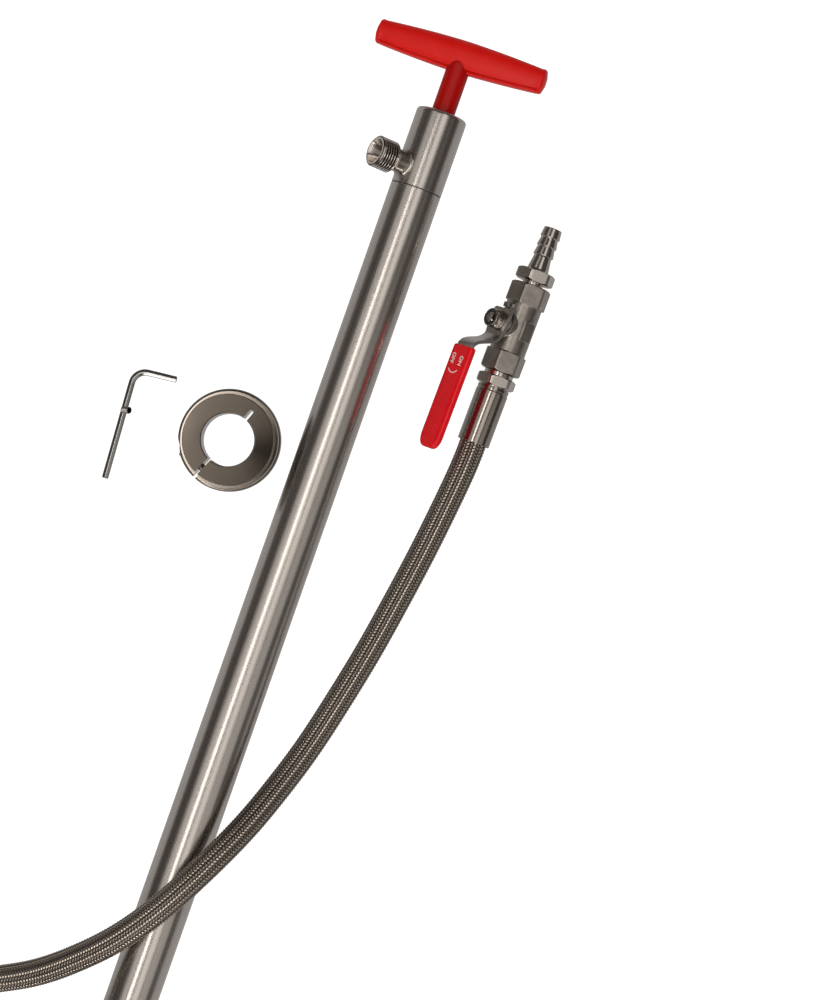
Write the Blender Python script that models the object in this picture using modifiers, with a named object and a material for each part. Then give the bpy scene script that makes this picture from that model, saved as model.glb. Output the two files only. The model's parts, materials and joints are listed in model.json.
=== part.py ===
"""A hand-operated drum barrel pump, laid out as a kit on a flat surface.

The pump lies along X with its handle at +X. Beside it lie its discharge hose with a ball valve, the split
collar that clamps it in a drum's bung, the hex key of that collar and a spare set screw. Sizes are in
millimetres here and are turned into metres where a mesh is made. Along the pump, positions are measured from
the joint between its head and its tube, positive towards the handle.
"""

import math

import bpy
import bmesh
from mathutils import Matrix, Vector

MM = 0.001
GAP = 0.3
STEPS = 16
FINE_STEPS = 28
UP = Vector((0, 0, 1))

# Pump barrel
TUBE_R, TUBE_WALL = 16.0, 1.5
BORE_R = TUBE_R - TUBE_WALL
IMMERSION = 920.0
HEAD_TOP = 49.5
JOINT_HALF = 0.45
ROD_R = 5.0
PORT_AT = 12.1
STUB_RISE = math.radians(34)
STUB_MOUTH = 37.0
STUB_NECK_R, STUB_THREAD_R = 7.15, 9.9

# Handle
STEM_R, STEM_END = 7.3, 41.6
BAR_MID, BAR_TOP = 86.8, 96.7
BAR_HALF, BAR_MID_R, BAR_END_R = 55.5, 9.9, 7.3
BAR_FLATNESS = 0.78
BAR_ROLL = math.radians(11)

# Where the kit's pieces lie: pump axis, and everything else measured from the pump's joint and axis
LAID_AT = Vector((IMMERSION - (IMMERSION + BAR_TOP) / 2, -13.9, 0))

# Discharge valve, measured along its own axis from the tip of the barb
VALVE_TIP = Vector((5.7, -87.9, 13.0))
VALVE_YAW = math.radians(1.2)
VALVE_WAY = Vector((-math.cos(VALVE_YAW), math.sin(VALVE_YAW), 0))
STEM_LEAN = math.radians(42)
BODY_START, BODY_END, STEM_AT = 37.5, 94.5, 65.5
BODY_FLATS, NUT_FLATS = 23.0, 22.0
FERRULE_START, FERRULE_END, FERRULE_R = 104.2, 141.0, 10.15
GRIP_OUT, GRIP_START, GRIP_LENGTH, GRIP_WIDTH, GRIP_THICK = 34.0, 88.0, 66.0, 17.5, 5.0

# Hose
HOSE_R = 8.5
HOSE_FROM_FERRULE = 0.4
HOSE_STEP = 24.0
HOSE_SEEN = (
    (-157.0, -83.9, 12.7),
    (-181.0, -81.4, 11.0),
    (-210.0, -77.8, 9.3),
    (-243.0, -72.8, 8.8),
    (-278.0, -66.8, 8.8),
    (-312.0, -59.6, 8.8),
    (-345.0, -51.6, 9.8),
    (-373.0, -42.8, 15.6),
    (-402.0, -31.8, 26.2),
    (-431.0, -17.8, 36.8),
    (-464.0, 0.4, 41.0),
    (-491.0, 19.2, 37.3),
    (-514.0, 40.2, 27.6),
    (-532.0, 60.8, 17.6),
    (-546.0, 84.0, 10.7),
    (-557.0, 108.0, 8.8),
    (-567.0, 134.0, 8.8),
)
COIL_CENTRE = (-672.0, 138.6)
COIL_R, COIL_TURN = 104.0, math.radians(256)
COIL_START_ANGLE = math.radians(19)
INNER_R, INNER_TURN = 78.0, math.radians(125)
COIL_POINTS, INNER_POINTS = 16, 9
HOSE_Z, FITTING_Z = 8.8, 12.4

# Collar, key and set screw
COLLAR_AT = Vector((-183.6, 57.9, 0))
COLLAR_BORE_R, PLUG_R, FLANGE_R = 16.35, 28.0, 32.0
FLANGE_H, COLLAR_H = 9.0, 23.0
SLIT_ANGLE, SLIT_W = math.radians(155.6), 2.7
FLEX_ANGLE, FLEX_W, FLEX_R = math.radians(-21), 2.8, 23.5
CLAMP_R, CLAMP_Z = 24.0, 4.6
KEY_FLATS = 4.0
KEY_END = Vector((-231.5, 123.4, KEY_FLATS / 2 + 0.1))
KEY_CORNER = Vector((-161.6, 127.8, KEY_FLATS / 2 + 0.1))
KEY_TIP = Vector((-159.0, 101.6, KEY_FLATS / 2 + 0.1))
KEY_BEND_R = 8.5
SET_SCREW_AT = Vector((-187.6, 126.7, 6.1))
SET_SCREW_R, SET_SCREW_L, SET_SCREW_RISE = 2.2, 6.0, math.radians(40)


# ---------------------------------------------------------------- scene, frames and materials


def clear_scene():
    for thing in list(bpy.data.objects):
        bpy.data.objects.remove(thing, do_unlink=True)


def new_collection(name):
    made = bpy.data.collections.new(name)
    bpy.context.scene.collection.children.link(made)
    return made


def finish(name, colour, roughness, metallic=1.0):
    """A Principled material."""
    made = bpy.data.materials.new(name)
    made.use_nodes = True
    shader = made.node_tree.nodes["Principled BSDF"]
    shader.inputs["Base Color"].default_value = (*colour, 1)
    shader.inputs["Roughness"].default_value = roughness
    shader.inputs["Metallic"].default_value = metallic
    return made


def axes(origin, along, side):
    """An empty at origin whose local Z runs along `along`, with its local X on the side of `side`."""
    z = Vector(along).normalized()
    x = Vector(side)
    x = (x - z * z.dot(x)).normalized()
    turn = Matrix((x, z.cross(x), z)).transposed().to_4x4()
    made = bpy.data.objects.new("axes", None)
    made.matrix_world = Matrix.Translation((LAID_AT + Vector(origin)) * MM) @ turn
    PARTS.objects.link(made)
    return made


def heading(angle):
    """The level direction at this angle from X."""
    return Vector((math.cos(angle), math.sin(angle), 0))


def place(thing, frame, material=None, cutter=False):
    """Puts an object in its collection and frame. A cutter is drawn as a wire and left out of renders."""
    (CUTTERS if cutter else PARTS).objects.link(thing)
    thing.parent = frame
    if cutter:
        thing.hide_render = True
        thing.display_type = "WIRE"
    if material:
        thing.data.materials.append(material)
    return thing


# ---------------------------------------------------------------- shapes


def turned(name, outline, frame, material=None, steps=STEPS, solid=False, cutter=False):
    """Turns an outline of (axial, radius) points about the frame's Z.

    The outline starts at the top and runs down its outer side. A ring's outline is closed; a solid's starts
    and ends on the axis.
    """
    mesh = bpy.data.meshes.new(name)
    points = [(radius * MM, 0, axial * MM) for axial, radius in outline]
    edges = [(i, i + 1) for i in range(len(points) - 1)]
    if not solid:
        edges.append((len(points) - 1, 0))
    mesh.from_pydata(points, edges, [])
    made = place(bpy.data.objects.new(name, mesh), frame, material, cutter)
    screw = made.modifiers.new("turn", "SCREW")
    screw.axis = "Z"
    screw.steps = screw.render_steps = steps
    screw.use_merge_vertices = True
    screw.merge_threshold = 0.00001
    screw.use_smooth_shade = True
    return made


def rim(low, high, radius, chamfer):
    """The outer side of a ring or rod, with both its edges chamfered."""
    if not chamfer:
        return [(high, radius), (low, radius)]
    inset = radius - chamfer
    return [(high, inset), (high - chamfer, radius), (low + chamfer, radius), (low, inset)]


def ring(name, low, high, inner, outer, frame, material, chamfer=0.0, steps=STEPS):
    outline = [*rim(low, high, outer, chamfer), (low, inner), (high, inner)]
    return turned(name, outline, frame, material, steps)


def rod(name, low, high, radius, frame, material=None, chamfer=0.0, steps=STEPS, cutter=False):
    outline = [(high, 0), *rim(low, high, radius, chamfer), (low, 0)]
    return turned(name, outline, frame, material, steps, solid=True, cutter=cutter)


def from_bmesh(name, shape, frame, material=None, cutter=False):
    mesh = bpy.data.meshes.new(name)
    shape.to_mesh(mesh)
    shape.free()
    return place(bpy.data.objects.new(name, mesh), frame, material, cutter)


def block(name, centre, size, frame, material=None, cutter=False, turn=0.0):
    shape = bmesh.new()
    bmesh.ops.create_cube(shape, size=1)
    bmesh.ops.scale(shape, vec=Vector(size) * MM, verts=shape.verts)
    bmesh.ops.translate(shape, vec=Vector(centre) * MM, verts=shape.verts)
    bmesh.ops.rotate(shape, matrix=Matrix.Rotation(turn, 3, "Z"), verts=shape.verts)
    return from_bmesh(name, shape, frame, material, cutter)


def ball(name, at, radius, frame, material):
    shape = bmesh.new()
    bmesh.ops.create_uvsphere(shape, u_segments=14, v_segments=8, radius=radius * MM)
    bmesh.ops.translate(shape, vec=(0, 0, at * MM), verts=shape.verts)
    made = from_bmesh(name, shape, frame, material)
    made.data.shade_smooth()
    return made


def hexagon(name, low, high, flats, frame, material=None, cutter=False, chamfers=(True, True)):
    """A hexagonal prism with a flat towards the frame's X and its chosen ends chamfered at 30 degrees."""
    shape = bmesh.new()
    corner = flats / math.sqrt(3)
    bmesh.ops.create_cone(
        shape, cap_ends=True, segments=6, radius1=corner * MM, radius2=corner * MM, depth=(high - low) * MM
    )
    bmesh.ops.translate(shape, vec=(0, 0, (low + high) / 2 * MM), verts=shape.verts)
    made = from_bmesh(name, shape, frame, material, cutter)
    face_r = flats / 2 - 0.2
    slope = (corner - face_r + 0.1) * math.tan(math.radians(30))
    bound = [(high + 1, 0), (high + 1, corner + 2), (low - 1, corner + 2), (low - 1, 0)]
    if chamfers[1]:
        bound[:2] = [(high, 0), (high, face_r), (high - slope, corner + 0.1)]
    if chamfers[0]:
        bound[-2:] = [(low + slope, corner + 0.1), (low, face_r), (low, 0)]
    if chamfers[0] or chamfers[1]:
        combine(made, turned(name + "_bound", bound, frame, solid=True, cutter=True), "INTERSECT")
    return made


def combine(thing, other, how="DIFFERENCE"):
    cut = thing.modifiers.new(how.lower(), "BOOLEAN")
    cut.object = other
    cut.operation = how
    return thing


def swept(name, points, radius, frame, material=None, sides=2, radii=None):
    """A round bar along points, as a curve with filled caps."""
    data = bpy.data.curves.new(name, "CURVE")
    data.dimensions = "3D"
    data.bevel_depth = radius * MM
    data.bevel_resolution = sides
    data.use_fill_caps = True
    line = data.splines.new("POLY")
    line.points.add(len(points) - 1)
    for i, point in enumerate(points):
        line.points[i].co = (*(Vector(point) * MM), 1)
        line.points[i].radius = radii[i] if radii else 1
    return place(bpy.data.objects.new(name, data), frame, material)


def as_mesh(thing, scale):
    """Replaces a curve object by its mesh, with the caps welded and the given scale applied."""
    bpy.context.view_layer.update()
    evaluated = thing.evaluated_get(bpy.context.evaluated_depsgraph_get())
    mesh = bpy.data.meshes.new_from_object(evaluated)
    shape = bmesh.new()
    shape.from_mesh(mesh)
    bmesh.ops.remove_doubles(shape, verts=shape.verts, dist=0.000005)
    bmesh.ops.scale(shape, vec=scale, verts=shape.verts)
    shape.to_mesh(mesh)
    shape.free()
    made = bpy.data.objects.new("mesh", mesh)
    PARTS.objects.link(made)
    made.parent = thing.parent
    made.matrix_basis = thing.matrix_basis
    name = thing.name
    bpy.data.objects.remove(thing, do_unlink=True)
    made.name = name
    return made


def smooth_line(points, step):
    """Points every `step` or so along a Catmull-Rom curve through the given ones."""
    points = [Vector(p) for p in points]
    ends = [points[0] * 2 - points[1], *points, points[-1] * 2 - points[-2]]
    line = [points[0]]
    for a, b, c, d in zip(ends, ends[1:], ends[2:], ends[3:]):
        pieces = max(1, round((c - b).length / step))
        for k in range(1, pieces + 1):
            t = k / pieces
            square, cube = 2 * a - 5 * b + 4 * c - d, 3 * b - a - 3 * c + d
            line.append((2 * b + (c - a) * t + square * t**2 + cube * t**3) / 2)
    return line


def arc(centre, radius, start, turn, count):
    """Points on an arc, without its first one."""
    for k in range(1, count + 1):
        angle = start + turn * k / count
        yield centre[0] + radius * math.cos(angle), centre[1] + radius * math.sin(angle)


# ---------------------------------------------------------------- pump barrel


def build_barrel(pump):
    ring("pump_tube", -IMMERSION + 15, -JOINT_HALF, BORE_R, TUBE_R, pump, STEEL, 0.25, FINE_STEPS)
    ring("head_gasket", -0.15, 0.15, BORE_R, TUBE_R - 0.5, pump, PTFE, steps=FINE_STEPS)
    head_outline = [
        (HEAD_TOP, TUBE_R - 2.6),
        (HEAD_TOP - 0.3, TUBE_R - 1.4),
        (HEAD_TOP - 1.0, TUBE_R - 0.5),
        (HEAD_TOP - 2.2, TUBE_R),
        (JOINT_HALF + 0.25, TUBE_R),
        (JOINT_HALF, TUBE_R - 0.25),
        (JOINT_HALF, BORE_R - GAP),
        (-14, BORE_R - GAP),
        (-14, 11),
        (21, 11),
        (21, 6.5),
        (23, 6.5),
        (23, 9.4),
        (HEAD_TOP - 0.8, 9.4),
        (HEAD_TOP, 10.2),
    ]
    head = turned("pump_head", head_outline, pump, STEEL, FINE_STEPS)
    port = axes((PORT_AT, 0, TUBE_R), (0, math.cos(STUB_RISE), math.sin(STUB_RISE)), (1, 0, 0))
    combine(head, rod("port_cut", 4, 22, STUB_NECK_R + GAP, port, steps=24, cutter=True))
    build_stub(port)
    ring("rod_guide", 23.3, 29, ROD_R + GAP, 9.1, pump, PTFE)
    ring("rod_seal", 29.3, 33.3, ROD_R + GAP, 9.1, pump, PTFE, 0.4)
    nut = [(46.6, 9.1), (33.6, 9.1), (33.6, ROD_R + 0.5), (41.2, ROD_R + 0.5), (41.2, 7.8), (46.6, 7.8)]
    gland = turned("gland_nut", nut, pump, STEEL)
    combine(gland, block("spanner_slot", (0, 0, 46.6), (2.4, 24, 3), pump, cutter=True))


def build_stub(port):
    """The welded outlet: a neck, a thread with a cone mouth and the weld bead around its root."""
    root, thread_end = 12.2, STUB_MOUTH
    thread_start = 24.4
    outline = [(thread_end, 7.6), (thread_end, STUB_THREAD_R - 1.1), (thread_end - 0.9, STUB_THREAD_R)]
    outline += [
        (thread_start, STUB_THREAD_R - 0.3),
        (thread_start - 0.9, STUB_NECK_R),
        (root, STUB_NECK_R),
        (root, 5),
        (29.4, 5),
    ]
    stub = turned("outlet_stub", outline, port, STEEL, 20)
    bead = [(18.2, 7.5), (17.4, 8.3), (16.2, 8.9), (13.2, 8.9), (13.2, 6), (18.2, 6)]
    weld = turned("weld_join", bead, port, steps=20, cutter=True)
    across = axes((PORT_AT, 0, TUBE_R), (1, 0, 0), UP)
    combine(weld, rod("saddle_cut", -20, 20, TUBE_R + GAP, across, steps=FINE_STEPS, cutter=True))
    combine(stub, weld, "UNION")


def build_foot(pump):
    """Foot valve in the lower end of the tube."""
    low = -IMMERSION
    outline = [
        (low + 40, BORE_R - GAP - 0.8),
        (low + 39.2, BORE_R - GAP),
        (low + 14.7, BORE_R - GAP),
        (low + 14.7, TUBE_R),
        (low + 1, TUBE_R),
        (low, TUBE_R - 1),
        (low, 8),
        (low + 12, 8),
        (low + 12, 10),
        (low + 40, 10),
    ]
    body = turned("foot_valve_body", outline, pump, STEEL, FINE_STEPS)
    for k in range(2):
        slot = block(f"inlet_slot_{k}", (0, 0, low + 1), (7, 40, 14), pump, cutter=True, turn=k * math.pi / 2)
        combine(body, slot)
    across = axes((low + 34, 0, TUBE_R), (0, 1, 0), UP)
    combine(body, rod("pin_hole", -20, 20, 1.8, across, steps=16, cutter=True))
    rod("foot_ball_pin", -14, 14, 1.5, across, STEEL, 0.3, 16)
    seat = [(low + 16, 9.7), (low + 12.3, 9.7), (low + 12.3, 6), (low + 16, 6)]
    turned("foot_seat", seat, pump, PTFE)
    ball("foot_ball", low + 20.8, 7.5, pump, STEEL)


# ---------------------------------------------------------------- plunger


def build_handle(pump):
    """A T handle: an oval bar, fatter in the middle, with a round stem that the rod screws into."""
    bar_axes = axes((0, 0, TUBE_R), (1, 0, 0), (0, math.sin(BAR_ROLL), math.cos(BAR_ROLL)))
    path, radii = [], []
    count = 12
    for k in range(count + 1):
        t = -1 + 2 * k / count
        radius = BAR_MID_R - (BAR_MID_R - BAR_END_R) * abs(t) ** 1.7
        path.append((0, t * (BAR_HALF - 2), BAR_MID))
        radii.append(radius)
    for end, t in ((0, -1), (len(path) + 1, 1)):
        path.insert(end, (0, t * BAR_HALF, BAR_MID))
        radii.insert(end, BAR_END_R - 2)
    bar = as_mesh(swept("handle", path, 1.0, bar_axes, RED, 3, radii), (BAR_FLATNESS, 1, 1))
    stem = rod("stem_join", STEM_END, BAR_MID + 3, STEM_R, bar_axes, steps=32, cutter=True)
    combine(bar, stem, "UNION")
    combine(bar, rod("rod_hole", STEM_END - 1, 66, 5.9, bar_axes, steps=24, cutter=True))
    bar.data.shade_smooth()
    ring("handle_insert", 47, 65, 4.3, 5.6, bar_axes, BRASS, 0.3, 24)


def build_plunger(pump):
    rod_outline = [(64, 0), (64, 3.6), (63.6, 4), (46.5, 4), (46.5, ROD_R), (-833.7, ROD_R), (-833.7, 0)]
    turned("piston_rod", rod_outline, pump, STEEL, solid=True)
    cage_outline = [
        (-822, 5.9),
        (-823, 6.9),
        (-834, 6.9),
        (-841, 8.7),
        (-852.2, 8.7),
        (-852.2, 4.5),
        (-834.2, 4.5),
        (-834.2, ROD_R + GAP),
        (-822, ROD_R + GAP),
    ]
    cage = turned("piston_cage", cage_outline, pump, STEEL)
    for k in range(2):
        turn = k * math.pi / 2
        window = block(f"cage_window_{k}", (0, 0, -838.2), (5, 30, 6), pump, cutter=True, turn=turn)
        notch = block(f"cage_notch_{k}", (0, 0, -852.2), (3, 17.8, 5), pump, cutter=True, turn=turn)
        combine(combine(cage, window), notch)
    body_outline = [(-842, 13.2), (-842.6, 13.8)]
    for middle in (-850, -868):
        high, low = middle + 2.3, middle - 2.3
        body_outline += [(high, 13.8), (high, 11.5), (low, 11.5), (low, 13.8)]
    body_outline += [
        (-875.4, 13.8),
        (-876, 13.2),
        (-876, 5.5),
        (-867, 5.5),
        (-864.5, 8),
        (-852.6, 8),
        (-852.6, 9),
        (-842, 9),
    ]
    turned("piston_body", body_outline, pump, STEEL)
    ring("piston_ring_upper", -852, -848, 11.8, 14.2, pump, PTFE, 0.3, FINE_STEPS)
    ring("piston_ring_lower", -870, -866, 11.8, 14.2, pump, PTFE, 0.3, FINE_STEPS)
    ball("piston_ball", -863.2, 6.5, pump, STEEL)


# ---------------------------------------------------------------- discharge valve


def build_valve(valve, stem):
    """Cast body with two hexagons, its ball, seats and screwed insert."""
    body = hexagon("valve_body", BODY_START, BODY_START + 13, BODY_FLATS, valve, CAST, chamfers=(True, False))
    far = hexagon("hex_far", BODY_END - 13, BODY_END, BODY_FLATS, valve, cutter=True, chamfers=(False, True))
    barrel = rod("barrel_join", BODY_START + 12, BODY_END - 12, 11.3, valve, cutter=True)
    boss = rod("boss_join", 0, 13.6, 8.2, stem, cutter=True)
    for joined in (far, barrel, boss):
        combine(body, joined, "UNION")
    bore = [
        (BODY_END + 1, 0),
        (BODY_END + 1, 8.8),
        (STEM_AT - 8.2, 8.8),
        (STEM_AT - 8.2, 4.5),
        (50, 4.5),
        (50, 6.8),
        (BODY_START - 1, 6.8),
        (BODY_START - 1, 0),
    ]
    combine(body, turned("bore_cut", bore, valve, solid=True, cutter=True))
    stem_hole = [(15, 0), (15, 5.5), (11, 5.5), (11, 3.4), (9.7, 3.4), (9.7, 4.8), (1, 4.8), (1, 0)]
    combine(body, turned("stem_cut", stem_hole, stem, steps=24, solid=True, cutter=True))
    for name, side in (("seat_ring_inlet", 1), ("seat_ring_outlet", -1)):
        near, far_side = STEM_AT + side * 4.4, STEM_AT + side * 7.9
        outline = [(near, 8.4), (far_side, 8.4), (far_side, 4.6), (STEM_AT + side * 5.8, 4.6), (near, 6)]
        turned(name, outline if side < 0 else outline[::-1], valve, PTFE)
    insert = [(93.6, 7.9), (93, 8.5), (73.8, 8.5), (73.8, 4.5), (81, 4.5), (81, 6.8), (93.6, 6.8)]
    turned("valve_insert", insert, valve, STEEL)


def build_valve_trim(valve, stem):
    """The ball and everything that turns with it or seals its stem."""
    ball_shape = bmesh.new()
    bmesh.ops.create_uvsphere(ball_shape, u_segments=14, v_segments=8, radius=7 * MM)
    bmesh.ops.translate(ball_shape, vec=(0, 0, STEM_AT * MM), verts=ball_shape.verts)
    valve_ball = from_bmesh("valve_ball", ball_shape, valve, STEEL)
    valve_ball.data.shade_smooth()
    combine(valve_ball, rod("port_through", STEM_AT - 9, STEM_AT + 9, 4.2, valve, steps=24, cutter=True))
    combine(valve_ball, block("ball_slot", (0, 0, 7), (12, 2.6, 4.4), stem, cutter=True))
    shaft = [(23.6, 0), (23.6, 2.5), (23.1, 3), (9.2, 3), (9.2, 4.4), (7.6, 4.4), (7.6, 0)]
    valve_stem = turned("valve_stem", shaft, stem, STEEL, 24, solid=True)
    combine(valve_stem, block("tang_join", (0, 0, 6.8), (6.2, 2, 3), stem, cutter=True), "UNION")
    ring("stem_packing", 11.3, 12.3, 3.3, 5.2, stem, PTFE, steps=16)
    ring("packing_follower", 12.6, 13.9, 3.3, 5.2, stem, STEEL, steps=16)
    ring("lever_washer", 16.7, 17.6, 3.3, 5.6, stem, STEEL, steps=16)
    nut = hexagon("lever_nut", 17.9, 23.2, 10.0, stem, STEEL)
    combine(nut, rod("nut_thread", 17, 22, 3.3, stem, steps=24, cutter=True))
    combine(nut, rod("nut_top", 21.6, 25, 4.1, stem, steps=24, cutter=True))
    ring("nut_lock_ring", 21.9, 22.9, 3.3, 3.8, stem, NYLON, steps=16)


def build_lever(stem):
    """The strap from the stem, bent outwards and then along the hose, and the vinyl grip on it.

    Its path is a row of (along the hose, out from the valve's axis, width).
    """
    low, high = 15.4, GRIP_OUT
    path = [(-8.5, low, 15), (-5, low, 17), (4, low, 17), (8, low, 15.5), (10.5, low + 0.6, 15)]
    path += [(12.8, low + 2.8, 14.5), (16, 26, 14), (18.2, high - 3, 14), (20.5, high - 0.6, 14)]
    path += [(x, high, 14) for x in (24, 40, 60, GRIP_START - STEM_AT + GRIP_LENGTH - 4)]
    shape = bmesh.new()
    rows = []
    for along, out, width in path:
        rows.append([shape.verts.new(Vector((along, y, out)) * MM) for y in (-width / 2, width / 2)])
    for a, b in zip(rows, rows[1:]):
        shape.faces.new((a[0], b[0], b[1], a[1]))
    arm = from_bmesh("lever_arm", shape, stem, STEEL)
    solidify = arm.modifiers.new("thickness", "SOLIDIFY")
    solidify.thickness = 2.2 * MM
    solidify.offset = 0
    solidify.use_even_offset = True
    combine(arm, rod("stem_hole", 10, 20, 3.3, stem, steps=24, cutter=True))
    start = GRIP_START - STEM_AT
    middle = (start + GRIP_LENGTH / 2, 0, GRIP_OUT)
    grip = block("lever_grip", middle, (GRIP_LENGTH, GRIP_WIDTH, GRIP_THICK), stem, RED_VINYL)
    round_over(grip, 1.6, 3)
    pocket = (GRIP_LENGTH - 2, 14.8, 2.9)
    combine(grip, block("grip_pocket", (start - 2 + pocket[0] / 2, 0, GRIP_OUT), pocket, stem, cutter=True))


def round_over(thing, width, segments):
    bevel = thing.modifiers.new("rounding", "BEVEL")
    bevel.width = width * MM
    bevel.segments = segments
    bevel.limit_method = "ANGLE"


def build_nozzle(valve):
    """The hose barb with its hexagon, screwed into the valve."""
    nozzle = hexagon("hose_barb", 28, 35.4, NUT_FLATS, valve, STEEL)
    barb = [(48, 0), (48, 6.4), (35, 6.4), (28.4, 6.65), (19, 5.9), (18.3, 6.5), (11.9, 5.7), (11.9, 6.3)]
    barb += [(6.2, 5.5), (6.2, 6.2), (0.3, 5.5), (0, 5.2), (0, 0)]
    combine(nozzle, turned("barb_join", barb, valve, solid=True, cutter=True), "UNION")
    combine(nozzle, rod("barb_bore", -1, 50, 4.0, valve, steps=24, cutter=True))
    nipple = hexagon("valve_end_nipple", 97.2, 103.8, NUT_FLATS, valve, STEEL)
    tail = [(136, 0), (136, 4.6), (103, 4.6), (103, 9.2), (94.9, 9.2), (94.9, 6.4), (82, 6.4), (82, 0)]
    combine(nipple, turned("tail_join", tail, valve, solid=True, cutter=True), "UNION")
    combine(nipple, rod("nipple_bore", 80, 140, 3.5, valve, steps=24, cutter=True))
    build_ferrule("valve_end_ferrule", valve, FERRULE_START, FERRULE_END)


def build_ferrule(name, frame, low, high):
    outline = [
        (high, FERRULE_R - 0.7),
        (high - 0.7, FERRULE_R),
        (low + 3.2, FERRULE_R),
        (low + 2.6, FERRULE_R - 0.35),
        (low + 0.6, FERRULE_R - 0.35),
        (low, FERRULE_R - 0.9),
        (low, 4.9),
        (high, 4.9),
    ]
    turned(name, outline, frame, STEEL, 20)


# ---------------------------------------------------------------- hose


def hose_points():
    """The centreline, from the valve's ferrule over the pump's tube to the coil beyond it."""
    exit_at = VALVE_TIP + VALVE_WAY * (FERRULE_END + HOSE_FROM_FERRULE)
    points = [exit_at, exit_at + VALVE_WAY * 8, *(Vector(p) for p in HOSE_SEEN)]
    inner_start = COIL_START_ANGLE + COIL_TURN
    inner_centre = (
        COIL_CENTRE[0] + (COIL_R - INNER_R) * math.cos(inner_start),
        COIL_CENTRE[1] + (COIL_R - INNER_R) * math.sin(inner_start),
    )
    first = (
        COIL_CENTRE[0] + COIL_R * math.cos(COIL_START_ANGLE),
        COIL_CENTRE[1] + COIL_R * math.sin(COIL_START_ANGLE),
    )
    turns = [first, *arc(COIL_CENTRE, COIL_R, COIL_START_ANGLE, COIL_TURN, COIL_POINTS)]
    turns += arc(inner_centre, INNER_R, inner_start, INNER_TURN, INNER_POINTS)
    last = len(turns) - 1
    for k, (x, y) in enumerate(turns):
        lift = min(1.0, max(0.0, 1 - (last - 1 - k) / 3))
        points.append(Vector((x, y, HOSE_Z + (FITTING_Z - HOSE_Z) * lift * lift * (3 - 2 * lift))))
    return points


def build_hose():
    points = hose_points()
    line = smooth_line(points, HOSE_STEP)
    world = axes((0, 0, 0), UP, (1, 0, 0))
    swept("discharge_hose", line, HOSE_R, world, BRAID, 3)
    return line


def build_far_end(line):
    """Ferrule, cone nipple and the union nut that screws on the pump's outlet."""
    way = line[-1] - line[-2]
    way.z = 0
    end = axes(line[-1], way, UP)
    build_ferrule("pump_end_ferrule", end, HOSE_FROM_FERRULE, 37)
    nipple = [
        (52, 3.5),
        (52, 5.4),
        (48.4, 8.7),
        (45.5, 8.7),
        (44, 6.8),
        (37.3, 6.8),
        (37.3, 4.6),
        (6, 4.6),
        (6, 3.5),
    ]
    turned("pump_end_nipple", nipple, end, STEEL)
    nut = hexagon("union_nut", 40.5, 59.5, 24.0, end, STEEL)
    combine(nut, rod("nut_back", 39, 62, 7.2, end, cutter=True))
    combine(nut, rod("nut_bore", 43.4, 62, 10.2, end, cutter=True))


# ---------------------------------------------------------------- accessories


def build_collar():
    """Split collar: a plug for the drum's bung hole on a wider flange, with its slit, flex slot and screw."""
    collar = axes(COLLAR_AT, UP, (1, 0, 0))
    base = 0.15
    outline = [
        (COLLAR_H, PLUG_R - 1.4),
        (COLLAR_H - 1.4, PLUG_R),
        (FLANGE_H, PLUG_R),
        (FLANGE_H, FLANGE_R - 1.6),
        (FLANGE_H - 1.6, FLANGE_R),
        (base + 0.8, FLANGE_R),
        (base, FLANGE_R - 0.8),
        (base, COLLAR_BORE_R + 0.6),
        (base + 0.6, COLLAR_BORE_R),
        (COLLAR_H - 0.8, COLLAR_BORE_R),
        (COLLAR_H, COLLAR_BORE_R + 0.8),
    ]
    body = turned("clamp_collar", outline, collar, POLISHED, 36)
    slit_way, flex_way = heading(SLIT_ANGLE), heading(FLEX_ANGLE)
    slit = axes(COLLAR_AT, UP, slit_way)
    combine(body, block("slit_cut", (25, 0, 12), (22, SLIT_W, 40), slit, cutter=True))
    slot_start, slot_end = 8.0, FLEX_R - FLEX_W / 2
    flex = axes(COLLAR_AT, UP, flex_way)
    middle, length = (slot_start + slot_end) / 2, slot_end - slot_start
    combine(body, block("flex_cut", (middle, 0, 12), (length, FLEX_W, 40), flex, cutter=True))
    end_axes = axes(COLLAR_AT + slot_end * flex_way, UP, (1, 0, 0))
    combine(body, rod("flex_end_cut", -1, 30, FLEX_W / 2 + 0.02, end_axes, steps=20, cutter=True))
    clamp_at = COLLAR_AT + CLAMP_R * slit_way + Vector((0, 0, CLAMP_Z))
    screw = axes(clamp_at, slit_way.cross(UP), UP)
    hole = [(34, 0), (34, 4.55), (11.6, 4.55), (11.6, 2.8), (-14, 2.8), (-14, 0)]
    combine(body, turned("screw_cut", hole, screw, steps=24, solid=True, cutter=True))
    bolt = [(16.9, 0), (16.9, 3.85), (16.5, 4.25), (11.9, 4.25), (11.9, 2.5)]
    bolt += [(-13, 2.5), (-13.4, 2.1), (-13.4, 0)]
    clamp = turned("clamp_screw", bolt, screw, STEEL, 24, solid=True)
    combine(clamp, hexagon("key_socket", 14.2, 18, 4.0, screw, cutter=True, chamfers=(False, False)))


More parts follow.
